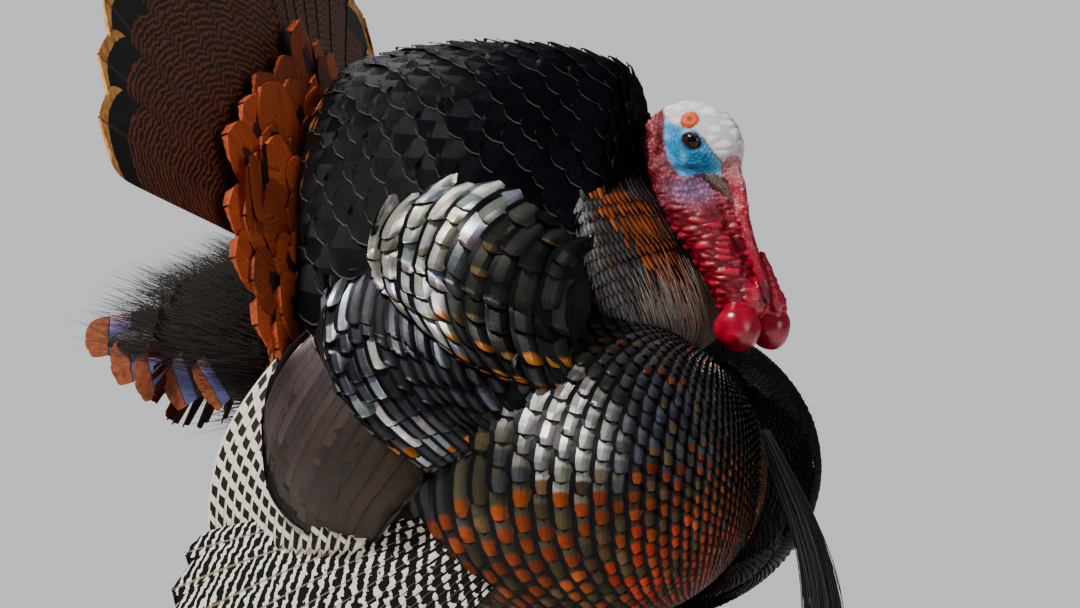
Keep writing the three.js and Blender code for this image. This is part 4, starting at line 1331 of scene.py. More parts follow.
def make_coverts():
    chart = Drape(COVERTS,
                  [(-143, 462), (-148, 415), (-137, 372), (-109, 331), (-60, 297)],
                  [(-120, 470), (-128, 425), (-117, 378), (-88, 338), (-44, 304)],
                  [(-98, 470), (-105, 425), (-95, 385), (-68, 346), (-30, 312)],
                  [(-76, 460), (-82, 420), (-70, 380), (-45, 346), (-10, 318)],
                  [(-48, 442), (-55, 405), (-43, 368), (-21, 340), (10, 318)],
                  [(-14, 420), (-24, 388), (-14, 360), (4, 340), (28, 322)],
                  [(22, 405), (12, 385), (16, 362), (30, 350), (52, 338)])
    vane = vane_material("covert_vane", roughness=0.30, metallic=0.65, margin=0.20, tip_line=0.06, covered_shade=0.75,
                         specular=0.12, lustre=0.7)
    a, b = in_columns(chart, np.linspace(0, 1, 14), 22.0, 0.0, 1.0, 20.0)
    for side, mirror in (("right", False), ("left", True)):
        batch = lay_tract(chart, a, b, a > -1, 9.8, np.full(len(a), 47.0), mirror=mirror,
                          out=away_from(2, -90, 388), shape=covert_shape, rows=9, columns=6, low=-4.5, lift=6.0,
                          roll=1.9, camber=0.04, thick=0.4)
        # the pale grounds at the left are the feathers' blue-silver, partly a painted highlight
        light = 1 - smooth_step(a, 0.16, 0.42)
        ground = choose([SLATE * 0.28, BLUE_SILVER * 0.8, PEARL * 0.7, SLATE * 0.6],
                        [0.6 + 1.8 * (1 - light), 0.05 + light, 0.01 + 0.25 * light, 0.6 + 0 * a])
        ground = paint(ground, tint(0.012, 0.012, 0.014), smooth_step(a, 0.6, 0.9) * 0.8)
        ground = paint(ground, tint(0.12, 0.115, 0.075), (a < 0.04) * (b > 0.4) * 0.9)
        warm = (b > 0.62) * (rng.random(len(a)) > 0.6)
        tip = paint(ground * 0.85, tint(0.40, 0.12, 0.014), warm)
        tinted(batch, ground, tip, band=0.76, spread=0.25)
        piece = feather_piece(f"covert_feathers_{side}", [batch], vane)
        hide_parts(f"wing_coverts_{side}")


def make_tertials():
    chart = Drape(TERTIALS,
                  [(-160, 414), (-179, 390), (-192, 364), (-199, 336)],
                  [(-150, 392), (-172, 354), (-187, 318), (-194, 284)],
                  [(-134, 364), (-157, 324), (-171, 288), (-175, 255)],
                  [(-104, 338), (-124, 302), (-140, 270), (-145, 240)],
                  [(-54, 304), (-72, 280), (-90, 258), (-106, 236)])
    vane = vane_material("tertial_vane", roughness=0.34, metallic=0.3, margin=0.03, barb=1.0, covered_shade=0.5, lustre=0.4)
    a = np.repeat(np.linspace(0, 1, 17), 2)
    b = np.tile([0.0, 0.42], 17) + 0.06 * rng.random(34)
    p = chart(a, b)
    r, z = flank_place(p)
    foot = np.linalg.norm(chart(a, np.ones(len(a))) - p, axis=1)
    for side, mirror in (("right", False), ("left", True)):
        batch = lay_tract(chart, a, b, a > -1, 13.0, foot * 1.06, mirror=mirror, out=away_from(-70, -90, 328),
                          shape=long_vane, rows=14, columns=7, low=-4.0, lift=5.0, roll=1.2, camber=0.0, thick=0.3)
        # painted sheen: the upper part is paler and pinkish grey
        ground = paint(np.broadcast_to(tint(0.026, 0.012, 0.006), (len(a), 3)), tint(0.055, 0.036, 0.038),
                       smooth_step(z, 310, 400))
        tinted(batch, ground, tint(0.010, 0.008, 0.004), band=0.70, spread=0.06)
        piece = feather_piece(f"tertial_feathers_{side}", [batch], vane)
        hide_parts(f"wing_tertials_{side}")


# ---------------------------------------------------------------- wing and tail quills


def flight_fan(root_front, root_rear, tip_front, tip_rear, bulge, bow=0.0):
    a, b, c, d = (np.array(v, float) for v in (root_front, root_rear, tip_front, tip_rear))

    def surface(u, v):
        u, v = u[..., None], v[..., None]
        p = mix(mix(a, b, u), mix(c, d, u), v)
        middle = (np.sin(math.pi * u) + np.sin(math.pi * v)) / 2
        return p + np.concatenate([-bow * u * np.sin(math.pi * v), -bulge * middle, 0 * u], -1)

    return surface


SECONDARIES = flight_fan([-22, -150, 330], [-134, -112, 420], [-70, -172, 226], [-210, -140, 228], 22, 24)


def primary_surface(a, b):
    """a runs from the foremost quill, at 0, to the uppermost, and b from the wrist to the tips."""
    root = np.array([[52, -152, 205], [20, -160, 232], [-20, -158, 264]], float)
    tip = np.array([[-112, -176, -2], [-200, -172, -2], [-274, -166, -2], [-262, -158, 112], [-226, -146, 236]], float)
    a, b = np.broadcast_arrays(a, b)
    start, end = basis(3, a) @ root, basis(5, a) @ tip
    p = mix(start, end, b[..., None])
    swell = np.sin(math.pi * np.clip(b, 0, 1))
    return p + np.stack([0 * b, -14 * swell, 6 * swell], -1)


def quill_shape(s):
    return blunt(s, squareness=14.0, root=0.45)


def barred_material(name, pale, dark, bars, slant, share, breadth, wide, edge=0.0, last=0.0):
    """Quills with a row of slanting dashes down the middle of the strip that shows of each."""
    material, nodes, links = nodes_of(name)
    shader = nodes["Principled BSDF"]
    across, along_vane, off_shaft = vane_places(nodes, links)
    turn = add(nodes, "Attribute", attribute_name="band")
    place = nodes.new("ShaderNodeTexCoord")
    ragged = add(nodes, "TexNoise", Scale=150.0, Detail=4.0)
    links.new(place.outputs["Object"], ragged.inputs["Vector"])
    phase = math_node(nodes, links, "MULTIPLY_ADD", across, slant, math_node(nodes, links, "MULTIPLY", along_vane, bars))
    phase = math_node(nodes, links, "MULTIPLY_ADD", ragged.outputs[0], wide, phase)
    phase = math_node(nodes, links, "ADD", phase, turn.outputs["Fac"])
    cycle = math_node(nodes, links, "FRACT", phase)
    in_bar = math_node(nodes, links, "LESS_THAN", cycle, share)
    off_strip = math_node(nodes, links, "ABSOLUTE", math_node(nodes, links, "SUBTRACT", across, 0.32))
    off_strip = math_node(nodes, links, "MULTIPLY_ADD", ragged.outputs[0], 0.10, off_strip)
    in_strip = math_node(nodes, links, "LESS_THAN", off_strip, breadth)
    mark = math_node(nodes, links, "MULTIPLY", in_bar, in_strip)
    colour = blend(nodes, links, mark, pale, dark)
    if last:
        foot = math_node(nodes, links, "GREATER_THAN", along_vane, 1 - last)
        block = math_node(nodes, links, "MULTIPLY", foot, math_node(nodes, links, "LESS_THAN", off_strip, 0.24))
        colour = blend(nodes, links, block, colour, dark)
    shaft = math_node(nodes, links, "LESS_THAN", off_shaft, 0.022)
    colour = blend(nodes, links, math_node(nodes, links, "MULTIPLY", shaft, 0.8), colour, (0.20, 0.15, 0.10))
    if edge:
        rim = math_node(nodes, links, "GREATER_THAN", along_vane, 1 - edge)
        colour = blend(nodes, links, rim, colour, (0.42, 0.37, 0.28))
    mottle = add(nodes, "TexNoise", Scale=900.0, Detail=2.0)
    links.new(place.outputs["Object"], mottle.inputs["Vector"])
    shade = math_node(nodes, links, "MULTIPLY_ADD", mottle.outputs[0], 0.5, 0.72)
    links.new(shaded_by(nodes, links, colour, shade), shader.inputs["Base Color"])
    shader.inputs["Roughness"].default_value = 0.55
    shader.inputs["Specular IOR Level"].default_value = 0.12
    return material


def make_flight_feathers():
    cream, sepia, ink, chalk = (0.56, 0.52, 0.46), (0.010, 0.008, 0.007), (0.004, 0.003, 0.003), (0.66, 0.64, 0.61)
    secondary = barred_material("secondary_vane", cream, sepia, 12.5, -0.45, 0.56, 0.25, 0.45, 0.03, 0.085)
    primary = barred_material("primary_vane", ink, chalk, 25.0, -0.30, 0.38, 0.40, 1.3)
    for name, surface, count, half, vane, node in (
            ("secondary", SECONDARIES, 17, 0.055, secondary, "wing_secondaries"),
            ("primary", primary_surface, 15, 0.062, primary, "wing_primaries")):
        u = (np.arange(count) + 0.5) / count
        for side, mirror in (("right", False), ("left", True)):
            batch = lay(surface, u, np.zeros(count), np.full(count, half), np.full(count, 0.985),
                        out=facing(0, -1, 0), over=(-1, 0, 0.3), shape=quill_shape, rows=40, columns=9,
                        low=-1.0, lift=1.0, roll=1.4, camber=0.03, thick=0.5, mirror=mirror)
            batch["points"][..., 2] = np.maximum(batch["points"][..., 2], 0.4)
            tinted(batch, PEARL)
            batch["band"] = 0.5 * (np.arange(count) % 2)
            piece = feather_piece(f"{name}_quills_{side}", [batch], vane, cells=True)
            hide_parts(f"{node}_{side}")


def rectrix_material(name, reach_mm, bars, tip_mm, band_mm, ground):
    """A tail quill: fine wavy bars on rufous brown, then a black band, then a buff tip."""
    material, nodes, links = nodes_of(name)
    shader = nodes["Principled BSDF"]
    across, along_vane, off_shaft = vane_places(nodes, links)
    place = nodes.new("ShaderNodeTexCoord")
    ragged = add(nodes, "TexNoise", Scale=120.0, Detail=4.0)
    links.new(place.outputs["Object"], ragged.inputs["Vector"])
    wave = math_node(nodes, links, "MULTIPLY_ADD", ragged.outputs[0], 0.035, along_vane)
    wave = math_node(nodes, links, "MULTIPLY_ADD", off_shaft, 0.07, wave)
    line = math_node(nodes, links, "SINE", math_node(nodes, links, "MULTIPLY", wave, bars * 2 * math.pi))
    bar = ramp(nodes, links, math_node(nodes, links, "MULTIPLY_ADD", line, 0.5, 0.5), [(0.28, 0.0), (0.5, 1.0)])
    colour = blend(nodes, links, bar, ground, (0.014, 0.007, 0.006))
    arch = math_node(nodes, links, "MULTIPLY", math_node(nodes, links, "MULTIPLY", off_shaft, off_shaft), 0.16)
    fringe = math_node(nodes, links, "ADD", arch, along_vane)
    fringe = math_node(nodes, links, "MULTIPLY_ADD", ragged.outputs[0], 0.012, fringe)
    band = math_node(nodes, links, "GREATER_THAN", fringe, 1 - (tip_mm + band_mm) / reach_mm + 0.006)
    colour = blend(nodes, links, band, colour, (0.006, 0.005, 0.006))
    tip = math_node(nodes, links, "GREATER_THAN", fringe, 1 - tip_mm / reach_mm + 0.006)
    buff = ramp(nodes, links, ragged.outputs[0], [(0.35, (0.36, 0.12, 0.025)), (0.6, (0.62, 0.29, 0.075))])
    colour = blend(nodes, links, tip, colour, buff)
    shaft = math_node(nodes, links, "LESS_THAN", off_shaft, 0.02)
    colour = blend(nodes, links, math_node(nodes, links, "MULTIPLY", shaft, 0.6), colour, (0.06, 0.03, 0.02))
    links.new(colour, shader.inputs["Base Color"])
    shader.inputs["Roughness"].default_value = 0.42
    shader.inputs["Specular IOR Level"].default_value = 0.35
    slant = math_node(nodes, links, "MULTIPLY_ADD", off_shaft, -0.5, along_vane)
    barbs = math_node(nodes, links, "SINE", math_node(nodes, links, "MULTIPLY", slant, 900.0))
    bump = add(nodes, "Bump", Strength=0.2, Distance=0.0005)
    links.new(barbs, bump.inputs["Height"])
    links.new(bump.outputs[0], shader.inputs["Normal"])
    return material


def tail_vane(s):
    return (0.97 + 0.03 * smooth_step(s, 0, 0.75)) * np.clip(1 - s ** 34, 0, 1) ** 0.5


def square_vane(s):
    return blunt(s, squareness=60.0, root=0.4)


def covert_tip(s):
    return (0.62 + 0.38 * smooth_step(s, 0, 0.8)) * np.clip(1 - s ** 16, 0, 1) ** 0.5


def strip_shape(s):
    return (0.55 + 0.45 * np.sin(np.clip(s / 0.7, 0, 1) * math.pi / 2)) * np.clip(1 - s ** 6, 0, 1) ** 0.6


def undertail_material():
    """Black-brown, then a violet-blue band with a pink upper rim, then a chestnut tip."""
    material, nodes, links = nodes_of("undertail_tip")
    shader = nodes["Principled BSDF"]
    across, along_vane, off_shaft = vane_places(nodes, links)
    place = nodes.new("ShaderNodeTexCoord")
    ragged = add(nodes, "TexNoise", Scale=200.0, Detail=4.0)
    links.new(place.outputs["Object"], ragged.inputs["Vector"])
    edge = math_node(nodes, links, "MULTIPLY_ADD", ragged.outputs[0], 0.02, along_vane)
    down = math_node(nodes, links, "MULTIPLY_ADD", ragged.outputs[0], 0.25, across)
    violet = ramp(nodes, links, down, [(0.2, (0.34, 0.20, 0.25)), (0.34, (0.15, 0.12, 0.25)), (0.62, (0.055, 0.060, 0.17))])
    colour = blend(nodes, links, math_node(nodes, links, "GREATER_THAN", edge, 0.80), (0.010, 0.008, 0.007), violet)
    line = math_node(nodes, links, "ABSOLUTE", math_node(nodes, links, "SUBTRACT", edge, 0.905))
    rust = ramp(nodes, links, ragged.outputs[0], [(0.3, (0.085, 0.017, 0.006)), (0.65, (0.22, 0.052, 0.016))])
    colour = blend(nodes, links, math_node(nodes, links, "GREATER_THAN", edge, 0.905), colour, rust)
    colour = blend(nodes, links, math_node(nodes, links, "LESS_THAN", line, 0.004), colour, (0.008, 0.006, 0.008))
    links.new(colour, shader.inputs["Base Color"])
    shader.inputs["Roughness"].default_value = 0.5
    shader.inputs["Specular IOR Level"].default_value = 0.3
    return material


def uppertail_material():
    """Dark maroon with pale wavy bars, a black smudge, and a wide rufous tip of loose barbs."""
    material, nodes, links = nodes_of("uppertail_vane")
    shader = nodes["Principled BSDF"]
    across, along_vane, off_shaft = vane_places(nodes, links)
    place = nodes.new("ShaderNodeTexCoord")
    ragged = add(nodes, "TexNoise", Scale=150.0, Detail=4.0)
    links.new(place.outputs["Object"], ragged.inputs["Vector"])
    # barbs run from the shaft to the edges, and show as streaks
    lean = math_node(nodes, links, "MULTIPLY_ADD", off_shaft, -0.9, along_vane)
    cell = nodes.new("ShaderNodeCombineXYZ")
    links.new(math_node(nodes, links, "MULTIPLY", lean, 120.0), cell.inputs[0])
    links.new(math_node(nodes, links, "MULTIPLY", across, 3.0), cell.inputs[1])
    seed = add(nodes, "Attribute", attribute_name="seed")
    links.new(math_node(nodes, links, "MULTIPLY", seed.outputs["Fac"], 40.0), cell.inputs[2])
    streak = add(nodes, "TexNoise", Scale=1.0, Detail=3.0)
    links.new(cell.outputs[0], streak.inputs["Vector"])
    ground, tip = add(nodes, "Attribute", attribute_name="ground"), add(nodes, "Attribute", attribute_name="tip")
    start = add(nodes, "Attribute", attribute_name="band").outputs["Fac"]
    wave = math_node(nodes, links, "MULTIPLY_ADD", ragged.outputs[0], 0.08, along_vane)
    line = math_node(nodes, links, "SINE", math_node(nodes, links, "MULTIPLY", wave, 150.0))
    bars = ramp(nodes, links, line, [(0.55, (0.0, 0.0, 0.0)), (0.8, (1.0, 1.0, 1.0))])
    colour = blend(nodes, links, bars, ground.outputs["Color"], (0.13, 0.045, 0.025))
    edge = math_node(nodes, links, "MULTIPLY_ADD", ragged.outputs[0], 0.16, along_vane)
    edge = math_node(nodes, links, "MULTIPLY_ADD", off_shaft, 0.20, edge)
    past = math_node(nodes, links, "SUBTRACT", edge, start)
    smudge = math_node(nodes, links, "MULTIPLY", math_node(nodes, links, "GREATER_THAN", past, 0.0),
                       math_node(nodes, links, "LESS_THAN", off_shaft, 0.30))
    colour = blend(nodes, links, smudge, colour, (0.006, 0.005, 0.005))
    in_tip = math_node(nodes, links, "GREATER_THAN", past, 0.15)
    level = math_node(nodes, links, "MULTIPLY_ADD", streak.outputs[0], 3.4, -0.75)
    level = math_node(nodes, links, "MAXIMUM", level, 0.12)
    warm = shaded_by(nodes, links, tip.outputs["Color"], level)
    colour = blend(nodes, links, in_tip, colour, warm)
    # a dark smudge stands inside some of the tips
    inner = math_node(nodes, links, "ABSOLUTE", math_node(nodes, links, "SUBTRACT", past, 0.27))
    dark = math_node(nodes, links, "MULTIPLY", math_node(nodes, links, "LESS_THAN", inner, 0.075),
                     math_node(nodes, links, "LESS_THAN", off_shaft, 0.17))
    dark = math_node(nodes, links, "MULTIPLY", dark, math_node(nodes, links, "LESS_THAN", seed.outputs["Fac"], 0.5))
    colour = blend(nodes, links, math_node(nodes, links, "MULTIPLY", dark, 0.9), colour, (0.010, 0.006, 0.006))
    rim = ramp(nodes, links, off_shaft, [(0.70, (0.0, 0.0, 0.0)), (0.97, (0.85, 0.85, 0.85))])
    colour = blend(nodes, links, rim, colour, (0.022, 0.006, 0.004))
    links.new(colour, shader.inputs["Base Color"])
    shader.inputs["Roughness"].default_value = 0.55
    shader.inputs["Specular IOR Level"].default_value = 0.2
    bump = add(nodes, "Bump", Strength=0.5, Distance=0.0009)
    links.new(streak.outputs[0], bump.inputs["Height"])
    links.new(bump.outputs[0], shader.inputs["Normal"])
    return material


def make_uppertail(fan):
    """Overlapping rows of broad rufous-tipped feathers in front of the fan, and strips that hang at the sides."""
    vane = uppertail_material()
    batches = []
    rows_of = ((230, 15, 12.0), (206, 14, 15.0), (178, 13, 18.0), (146, 14, 21.0), (118, 15, 24.0))
    for row, (tip, count, forward) in enumerate(rows_of):
        angle = np.linspace(-8, 188, count) + 5.0 * (rng.random(count) - 0.5) + (row % 2) * 98.0 / count

        def raised(a, b, forward=forward):
            return fan.point(b, a) + [forward, 0, 0]

        half = 196.0 / count * 0.80 * (0.8 + 0.4 * rng.random(count))
        batch = lay(raised, angle, np.full(count, 50.0), half, tip - 50.0 - 30 * rng.random(count),
                    out=facing(1, 0, 0), over=(0, 0, 1), shape=covert_tip, rows=24, columns=13, low=-1.5, lift=4.0,
                    roll=1.6, camber=0.015, thick=0.3, wander=4.0)
        batches.append(tinted(batch, tint(0.022, 0.007, 0.005), tint(0.27, 0.046, 0.012), band=0.60 - 0.03 * row,
                              spread=0.6))
    # strips hang down where the fan meets the flank
    count = 34
    across = np.linspace(-218, -166, count) + 5 * (rng.random(count) - 0.5)
    top = np.interp(across, [-218, -195, -166], [548, 565, 560]) + 40 * (rng.random(count) - 0.5)
    foot = np.interp(across, [-218, -200, -166], [478, 432, 428]) + 44 * rng.random(count)

    def hanging(a, b):
        at = a[..., None] * ACROSS + ((-172 + 5 * b - 0.951 * a) / 0.309)[..., None] * TOWARD
        sway = 10 * np.sin(b * 2.4) - 6 * b
        return at + sway[..., None] * ACROSS + (mix(640, 430, b))[..., None] * [0, 0, 1.0]

    rise = rng.random(count) * 4
    for mirror in (False, True):
        for k in range(count):
            start = np.array([(640 - top[k]) / 210])
            batch = lay(hanging, across[k:k + 1], start, np.array([3.6 + 2.6 * rng.random()]),
                        (640 - foot[k]) / 210 - start, out=facing(0.3, -1, 0), over=(-1, 0, 0), shape=strip_shape,
                        rows=20, columns=7, low=rise[k], lift=4.0, roll=1.2, camber=0.16, thick=0.4,
                        mirror=mirror, wander=9.0)
            level = 0.06 if rng.random() < 0.3 else 0.4 + 0.9 * rng.random()
            batches.append(tinted(batch, BLACK, tint(0.24, 0.040, 0.011) * level, band=-0.6, spread=0.2))
    piece = feather_piece("uppertail_coverts", batches, vane, cells=True)
    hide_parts("tail_coverts")


def make_tail():
    fan = Fan()
    inner, reach, feathers = 60.0, 412.0, 18
    low, high = 16.0, 164.0
    step = (high - low) / feathers

    def surface(a, b):
        return fan.point(b, a)

    vane = rectrix_material("rectrix_vane", reach - inner, 50.0, 17.0, 32.0, (0.15, 0.034, 0.011))
    for part, node in enumerate(("tail_fan_left", "tail_fan_middle", "tail_fan_right")):
        k = np.arange(6) + part * 6
        angle = low + (k + 0.5) * step
        batch = lay(surface, angle, np.full(6, inner), np.full(6, step * 0.78), np.full(6, reach - inner - 8.0),
                    out=facing(1, 0, 0), over=(0, 0, 1), shape=tail_vane, rows=56, columns=13, low=-0.5, lift=0.0,
                    roll=0.8, camber=0.0, thick=0.4)
        tinted(batch, COPPER)
        piece = feather_piece(f"rectrices_{node.split('_')[-1]}", [batch], vane, cells=True)
        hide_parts(node)
    make_uppertail(fan)


def make_undertail():
    """Long feathers whose square tips step down from the rear, with plain ones under them."""
    def surface(a, b):
        return UNDERTAIL.point(b, a)

    count = 30
    a = 2 * math.pi * np.arange(count) / count
    plain = lay(surface, a, np.full(count, 0.08), np.full(count, 2 * math.pi / count * 0.8),
                0.38 + 0.05 * rng.random(count), out=away_from(-270, 0, 398), shape=tile,
                rows=12, columns=5, low=-14, lift=-6, roll=1.0, camber=0.02)
    tinted(plain, tint(0.010, 0.007, 0.006), tint(0.075, 0.018, 0.008), band=0.86, spread=0.4)
    vane = vane_material("undertail_vane", roughness=0.7, metallic=0.0, specular=0.1)
    piece = feather_piece("undertail_feathers", [plain], vane)
    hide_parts("undertail_coverts")
    tips = [(-350, 405, 17, 20), (-327, 384, 20, 62), (-306, 370, 20, 90), (-280, 363, 21, 108), (-250, 362, 22, 116)]
    banded = undertail_material()
    for side, mirror in (("right", False), ("left", True)):
        batches = []
        for across, up, half, out_y in tips:
            tip = np.array([(across + ACROSS[1] * out_y) / ACROSS[0], -out_y, up])
            root = np.array([-175.0, -out_y * 0.75, up * 0.35 + 268.0])
            way = unit(tip - root)
            wide = unit(np.cross(way, [0.25, -1.0, 0.1]))

            def strip(a, b, tip=tip, root=root, wide=wide):
                sag = np.stack([0 * b, 0 * b, 10 * np.sin(math.pi * np.clip(b, 0, 1))], -1)
                return root + (tip - root) * b[..., None] + wide * a[..., None] + sag

            batch = lay(strip, np.zeros(1), np.zeros(1), np.full(1, float(half)), np.full(1, 1.03),
                        out=facing(0.0, -1, 0), over=(0, 0, 1), shape=square_vane, rows=44, columns=15, low=0.0,
                        lift=0.0, roll=0.0, camber=0.02, thick=0.6, bow=0.0, mirror=mirror)
            # the end is cut off square and a little ragged
            local = batch["uv"][0]
            ragged = 1.6 * np.sin(local[:, 0] * 31.0) * smooth_step(local[:, 1], 0.96, 1.0)
            batch["points"] = batch["points"] + (ragged[:, None] * (way * [1, -1 if mirror else 1, 1]))[None]
            batches.append(tinted(batch, tint(0.02, 0.014, 0.012)))
        feather_piece(f"undertail_tips_{side}", batches, banded, cells=True)


def make_thighs():
    def surface(a, b):
        return THIGH.point(b, a)

    vane = vane_material("thigh_vane", roughness=0.55, metallic=0.0)
    a, b = staggered(0, 2 * math.pi, 2 * math.pi / 18, 0.06, 0.95, 0.07)
    p = surface(a, b)
    width = np.linalg.norm(surface(a + 0.01, b) - p, axis=1) / 0.01 * 2 * math.pi / 18
    for side, mirror in (("right", False), ("left", True)):
        batch = lay_tract(surface, a, b, width > 2, width * 0.8, np.maximum(16.0, width * 2.4), mirror=mirror,
                          out=away_from(-5, -74, 200), low=-4, lift=4, roll=0.5)
        tinted(batch, tint(0.045, 0.030, 0.022), tint(0.11, 0.07, 0.045), band=0.8)
        feather_piece(f"thigh_feathers_{side}", [batch], vane)


# ---------------------------------------------------------------- beard, down and hair-like fringes


def strand_tree():
    """Geometry nodes that give each line of a mesh a closed, tapered body."""
    tree = bpy.data.node_groups.new("strands", "GeometryNodeTree")
    face = tree.interface
    face.new_socket("Geometry", in_out="INPUT", socket_type="NodeSocketGeometry")
    face.new_socket("Sides", in_out="INPUT", socket_type="NodeSocketInt")
    face.new_socket("Thickness", in_out="INPUT", socket_type="NodeSocketFloat")
    face.new_socket("Material", in_out="INPUT", socket_type="NodeSocketMaterial")
    face.new_socket("Geometry", in_out="OUTPUT", socket_type="NodeSocketGeometry")
    nodes, links = tree.nodes, tree.links
    entry, leave = nodes.new("NodeGroupInput"), nodes.new("NodeGroupOutput")
    lines, radius = nodes.new("GeometryNodeMeshToCurve"), nodes.new("GeometryNodeSetCurveRadius")
    taper = nodes.new("GeometryNodeInputNamedAttribute")
    taper.data_type = "FLOAT"
    taper.inputs["Name"].default_value = "taper"
    scale = nodes.new("ShaderNodeMath")
    scale.operation = "MULTIPLY"
    circle, body = nodes.new("GeometryNodeCurvePrimitiveCircle"), nodes.new("GeometryNodeCurveToMesh")
    circle.inputs["Radius"].default_value = 1.0
    body.inputs["Fill Caps"].default_value = True
    place = nodes.new("GeometryNodeInputNamedAttribute")
    place.data_type = "FLOAT_VECTOR"
    place.inputs["Name"].default_value = "root"
    store = nodes.new("GeometryNodeStoreNamedAttribute")
    store.data_type, store.domain = "FLOAT2", "CORNER"
    store.inputs["Name"].default_value = "OFBake"
    realize, finish = nodes.new("GeometryNodeRealizeInstances"), nodes.new("GeometryNodeSetMaterial")
    links.new(entry.outputs["Geometry"], lines.inputs[0])
    links.new(lines.outputs[0], radius.inputs["Curve"])
    links.new(taper.outputs["Attribute"], scale.inputs[0])
    links.new(entry.outputs["Thickness"], scale.inputs[1])
    links.new(scale.outputs[0], radius.inputs["Radius"])
    links.new(entry.outputs["Sides"], circle.inputs["Resolution"])
    links.new(radius.outputs[0], body.inputs["Curve"])
    links.new(circle.outputs[0], body.inputs["Profile Curve"])
    if "Scale" in body.inputs:
        reader = nodes.new("GeometryNodeInputRadius")
        links.new(reader.outputs[0], body.inputs["Scale"])
    links.new(body.outputs[0], store.inputs["Geometry"])
    links.new(place.outputs["Attribute"], store.inputs["Value"])
    links.new(store.outputs[0], realize.inputs[0])
    links.new(realize.outputs[0], finish.inputs["Geometry"])
    links.new(entry.outputs["Material"], finish.inputs["Material"])
    links.new(finish.outputs[0], leave.inputs[0])
    return tree


STRANDS = strand_tree()


def strand_piece(name, lines, colours, thickness, sides, material, taper=None):
    """lines is (count, steps, 3); each becomes one closed strand by the geometry nodes."""
    count, steps = lines.shape[:2]
    points = lines.reshape(-1, 3)
    start = np.arange(count)[:, None] * steps + np.arange(steps - 1)
    edges = np.stack([start, start + 1], -1).reshape(-1, 2)
    mesh = bpy.data.meshes.new(name)
    mesh.vertices.add(len(points))
    mesh.vertices.foreach_set("co", metres(points).astype(np.float32).ravel())
    mesh.edges.add(len(edges))
    mesh.edges.foreach_set("vertices", edges.astype(np.int32).ravel())
    if taper is None:
        taper = np.array([0.8, 1.0, 0.9, 0.7, 0.4, 0.12])
        taper = np.interp(np.linspace(0, 1, steps), np.linspace(0, 1, 6), taper)
    mesh.attributes.new("taper", "FLOAT", "POINT").data.foreach_set("value", np.tile(taper, count).astype(np.float32))
    root = np.concatenate([np.repeat(unwrap(lines[:, 0]), steps, axis=0), np.zeros((len(points), 1))], 1)
    root[:, 1] += np.tile(np.linspace(0, 0.003, steps), count)
    mesh.attributes.new("root", "FLOAT_VECTOR", "POINT").data.foreach_set("vector", root.astype(np.float32).ravel())
    full = np.ones((len(points), 4), np.float32)
    full[:, :3] = np.repeat(colours, steps, axis=0)
    mesh.attributes.new("ground", "FLOAT_COLOR", "POINT").data.foreach_set("color", full.ravel())
    mesh.update()
    source = bpy.data.objects.new(name + "_lines", mesh)
    bpy.context.scene.collection.objects.link(source)
    modifier = source.modifiers.new("strands", "NODES")
    modifier.node_group = STRANDS
    sockets = {item.name: item.identifier for item in STRANDS.interface.items_tree if item.in_out == "INPUT"}
    modifier[sockets["Sides"]] = sides
    modifier[sockets["Thickness"]] = thickness * MM
    modifier[sockets["Material"]] = material
    made = bpy.data.meshes.new_from_object(source.evaluated_get(bpy.context.evaluated_depsgraph_get()))
    bpy.data.objects.remove(source)
    piece = bpy.data.objects.new(name, made)
    made.name = name
    bpy.context.scene.collection.objects.link(piece)
    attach(piece, "root")
    return piece


def make_beard():
    spine = [along(234, 250, 268, 282, 288, 287), along(326, 292, 252, 206, 158, 108)]
    wide, deep = along(4, 7, 10, 13, 13, 11), along(5, 9, 12, 15, 16, 13)
    count, steps = 300, 12
    t = np.linspace(0, 1, steps)[None, :] * (0.72 + 0.28 * rng.random((count, 1)) ** 0.5)
    angle, out = rng.random((count, 1)) * 2 * math.pi, np.sqrt(rng.random((count, 1)))
    stray = np.stack([(rng.random(count) - 0.5) * 12, (rng.random(count) - 0.5) * 10], -1)
    x = spine[0](t) + deep(t) * out * np.cos(angle) + stray[:, :1] * t ** 2 + 1.2 * np.sin(7 * t + angle * 5) * t
    y = wide(t) * out * np.sin(angle) + stray[:, 1:] * t ** 2 + 1.2 * np.sin(9 * t + angle * 3) * t
    z = spine[1](t) + 3 * rng.random((count, 1)) + 0 * t
    grey = 0.012 + 0.13 * rng.random((count, 1)) ** 3
    material = line_material("bristle", roughness=0.40)
    piece = strand_piece("beard_bristles", np.stack([x, y, z], -1), grey * tint(0.9, 0.95, 1.1), 0.62, 4,
                         material, np.linspace(1.0, 0.5, steps))
    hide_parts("beard")


def make_down():
    count, steps = 6000, 6
    a = math.pi + math.pi * rng.random(count) * 1.0
    a = a + 0.7 * (rng.random(count) - 0.5)
    b = 0.02 + 0.55 * rng.random(count) ** 1.3
    low = rng.random(count) < 0.22
    a = np.where(low, 2 * math.pi * rng.random(count), a)
    b = np.where(low, 0.01 + 0.22 * rng.random(count), b)
    root = UNDERTAIL.point(b, a)
    out = unit(root - UNDERTAIL.middle(b))
    length = 30 + 34 * rng.random(count)
    s = np.linspace(0, 1, steps)
    back = np.array([-1.0, 0, 0.22])
    lines = root[:, None] + (back * length[:, None])[:, None] * s[None, :, None] - out[:, None] * 9
    lines = lines + out[:, None] * (17 * np.sin(s * 1.7))[None, :, None]
    lines = lines + (rng.random((count, 1, 3)) - 0.5) * 30 * (s ** 1.5)[None, :, None]
    brown = (0.3 + 0.9 * rng.random((count, 1))) * tint(0.013, 0.009, 0.007)
    strand_piece("vent_down", lines, brown, 0.25, 3, line_material("down", roughness=0.9))


# ---------------------------------------------------------------- floor, lights and camera


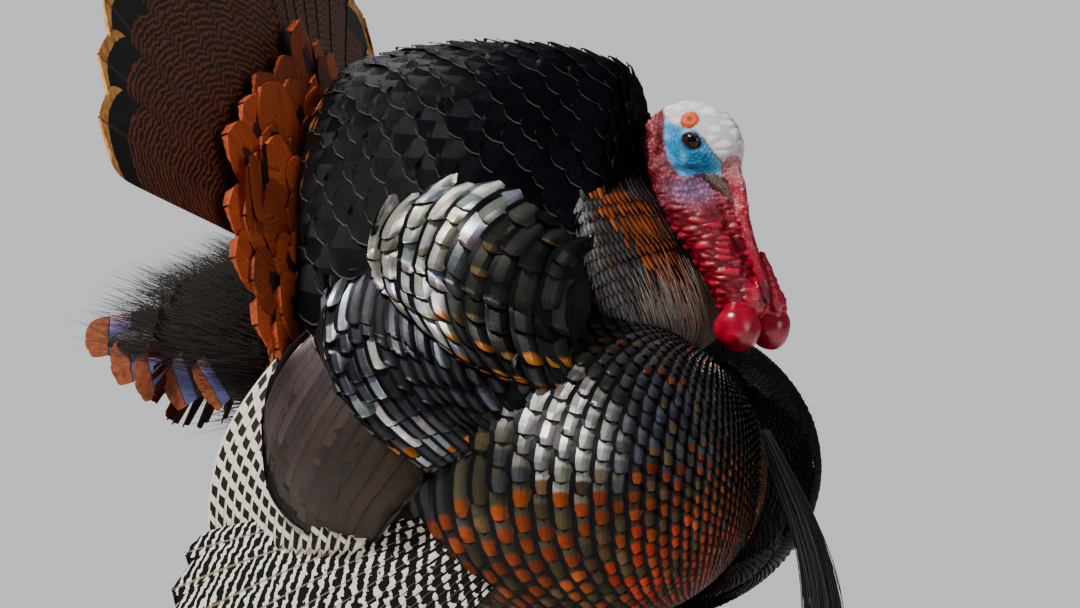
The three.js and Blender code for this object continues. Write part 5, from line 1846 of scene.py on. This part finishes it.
def make_stage():
    mesh = bpy.data.meshes.new("floor")
    ring = [(4 * math.cos(a), 4 * math.sin(a), -0.0005) for a in np.linspace(0, 2 * math.pi, 97)[:-1]]
    mesh.from_pydata(ring, [], [tuple(range(96))])
    floor = bpy.data.objects.new("floor", mesh)
    bpy.context.scene.collection.objects.link(floor)
    material, nodes, _ = nodes_of("floor")
    nodes["Principled BSDF"].inputs["Base Color"].default_value = (0.62, 0.61, 0.58, 1)
    nodes["Principled BSDF"].inputs["Roughness"].default_value = 0.8
    mesh.materials.append(material)
    world = bpy.data.worlds.new("studio")
    bpy.context.scene.world = world
    world.use_nodes = True
    nodes, links = world.node_tree.nodes, world.node_tree.links
    glow, rays, level = nodes["Background"], nodes.new("ShaderNodeLightPath"), nodes.new("ShaderNodeMath")
    glow.inputs["Color"].default_value = (0.86, 0.88, 0.90, 1)
    # the backdrop is paler than the light that it sheds
    level.operation = "MULTIPLY_ADD"
    level.inputs[1].default_value, level.inputs[2].default_value = 0.68, 0.16
    links.new(rays.outputs["Is Camera Ray"], level.inputs[0])
    links.new(level.outputs[0], glow.inputs["Strength"])


def make_light(name, place, size, power, target, colour=(1, 1, 1)):
    data = bpy.data.lights.new(name, "AREA")
    data.shape, data.size, data.energy, data.color = "DISK", size, power, colour
    light = bpy.data.objects.new(name, data)
    light.location = place
    light.rotation_euler = (Vector(target) - Vector(place)).to_track_quat("-Z", "Y").to_euler()
    bpy.context.scene.collection.objects.link(light)


def make_view():
    aim = metres(34 * ACROSS + np.array([0, 0, 435.0]))
    data = bpy.data.cameras.new("camera")
    data.sensor_width, data.lens = 36.0, 353.0
    data.clip_end = 60
    camera = bpy.data.objects.new("camera", data)
    camera.location = aim + 9.0 * TOWARD
    camera.rotation_euler = (Vector(aim) - camera.location).to_track_quat("-Z", "Y").to_euler()
    bpy.context.scene.collection.objects.link(camera)
    bpy.context.scene.camera = camera
    up = np.array([0, 0, 1.0])
    make_light("key", aim - 1.7 * ACROSS + 1.5 * TOWARD + 2.6 * up, 0.5, 250, aim, (1, 0.96, 0.9))
    make_light("fill", aim + 2.6 * ACROSS + 2.2 * TOWARD + 0.8 * up, 2.0, 34, aim, (0.9, 0.95, 1))
    make_light("rear", aim - 1.0 * ACROSS - 2.4 * TOWARD + 2.2 * up, 1.5, 80, aim)


make_view()
make_stage()
make_skin()
make_eyes()
make_bill()
make_claws()
make_breast()
make_collar()
make_back()
make_scapulars()
make_coverts()
make_tertials()
make_flight_feathers()
make_tail()
make_undertail()
make_thighs()
make_beard()
make_down()
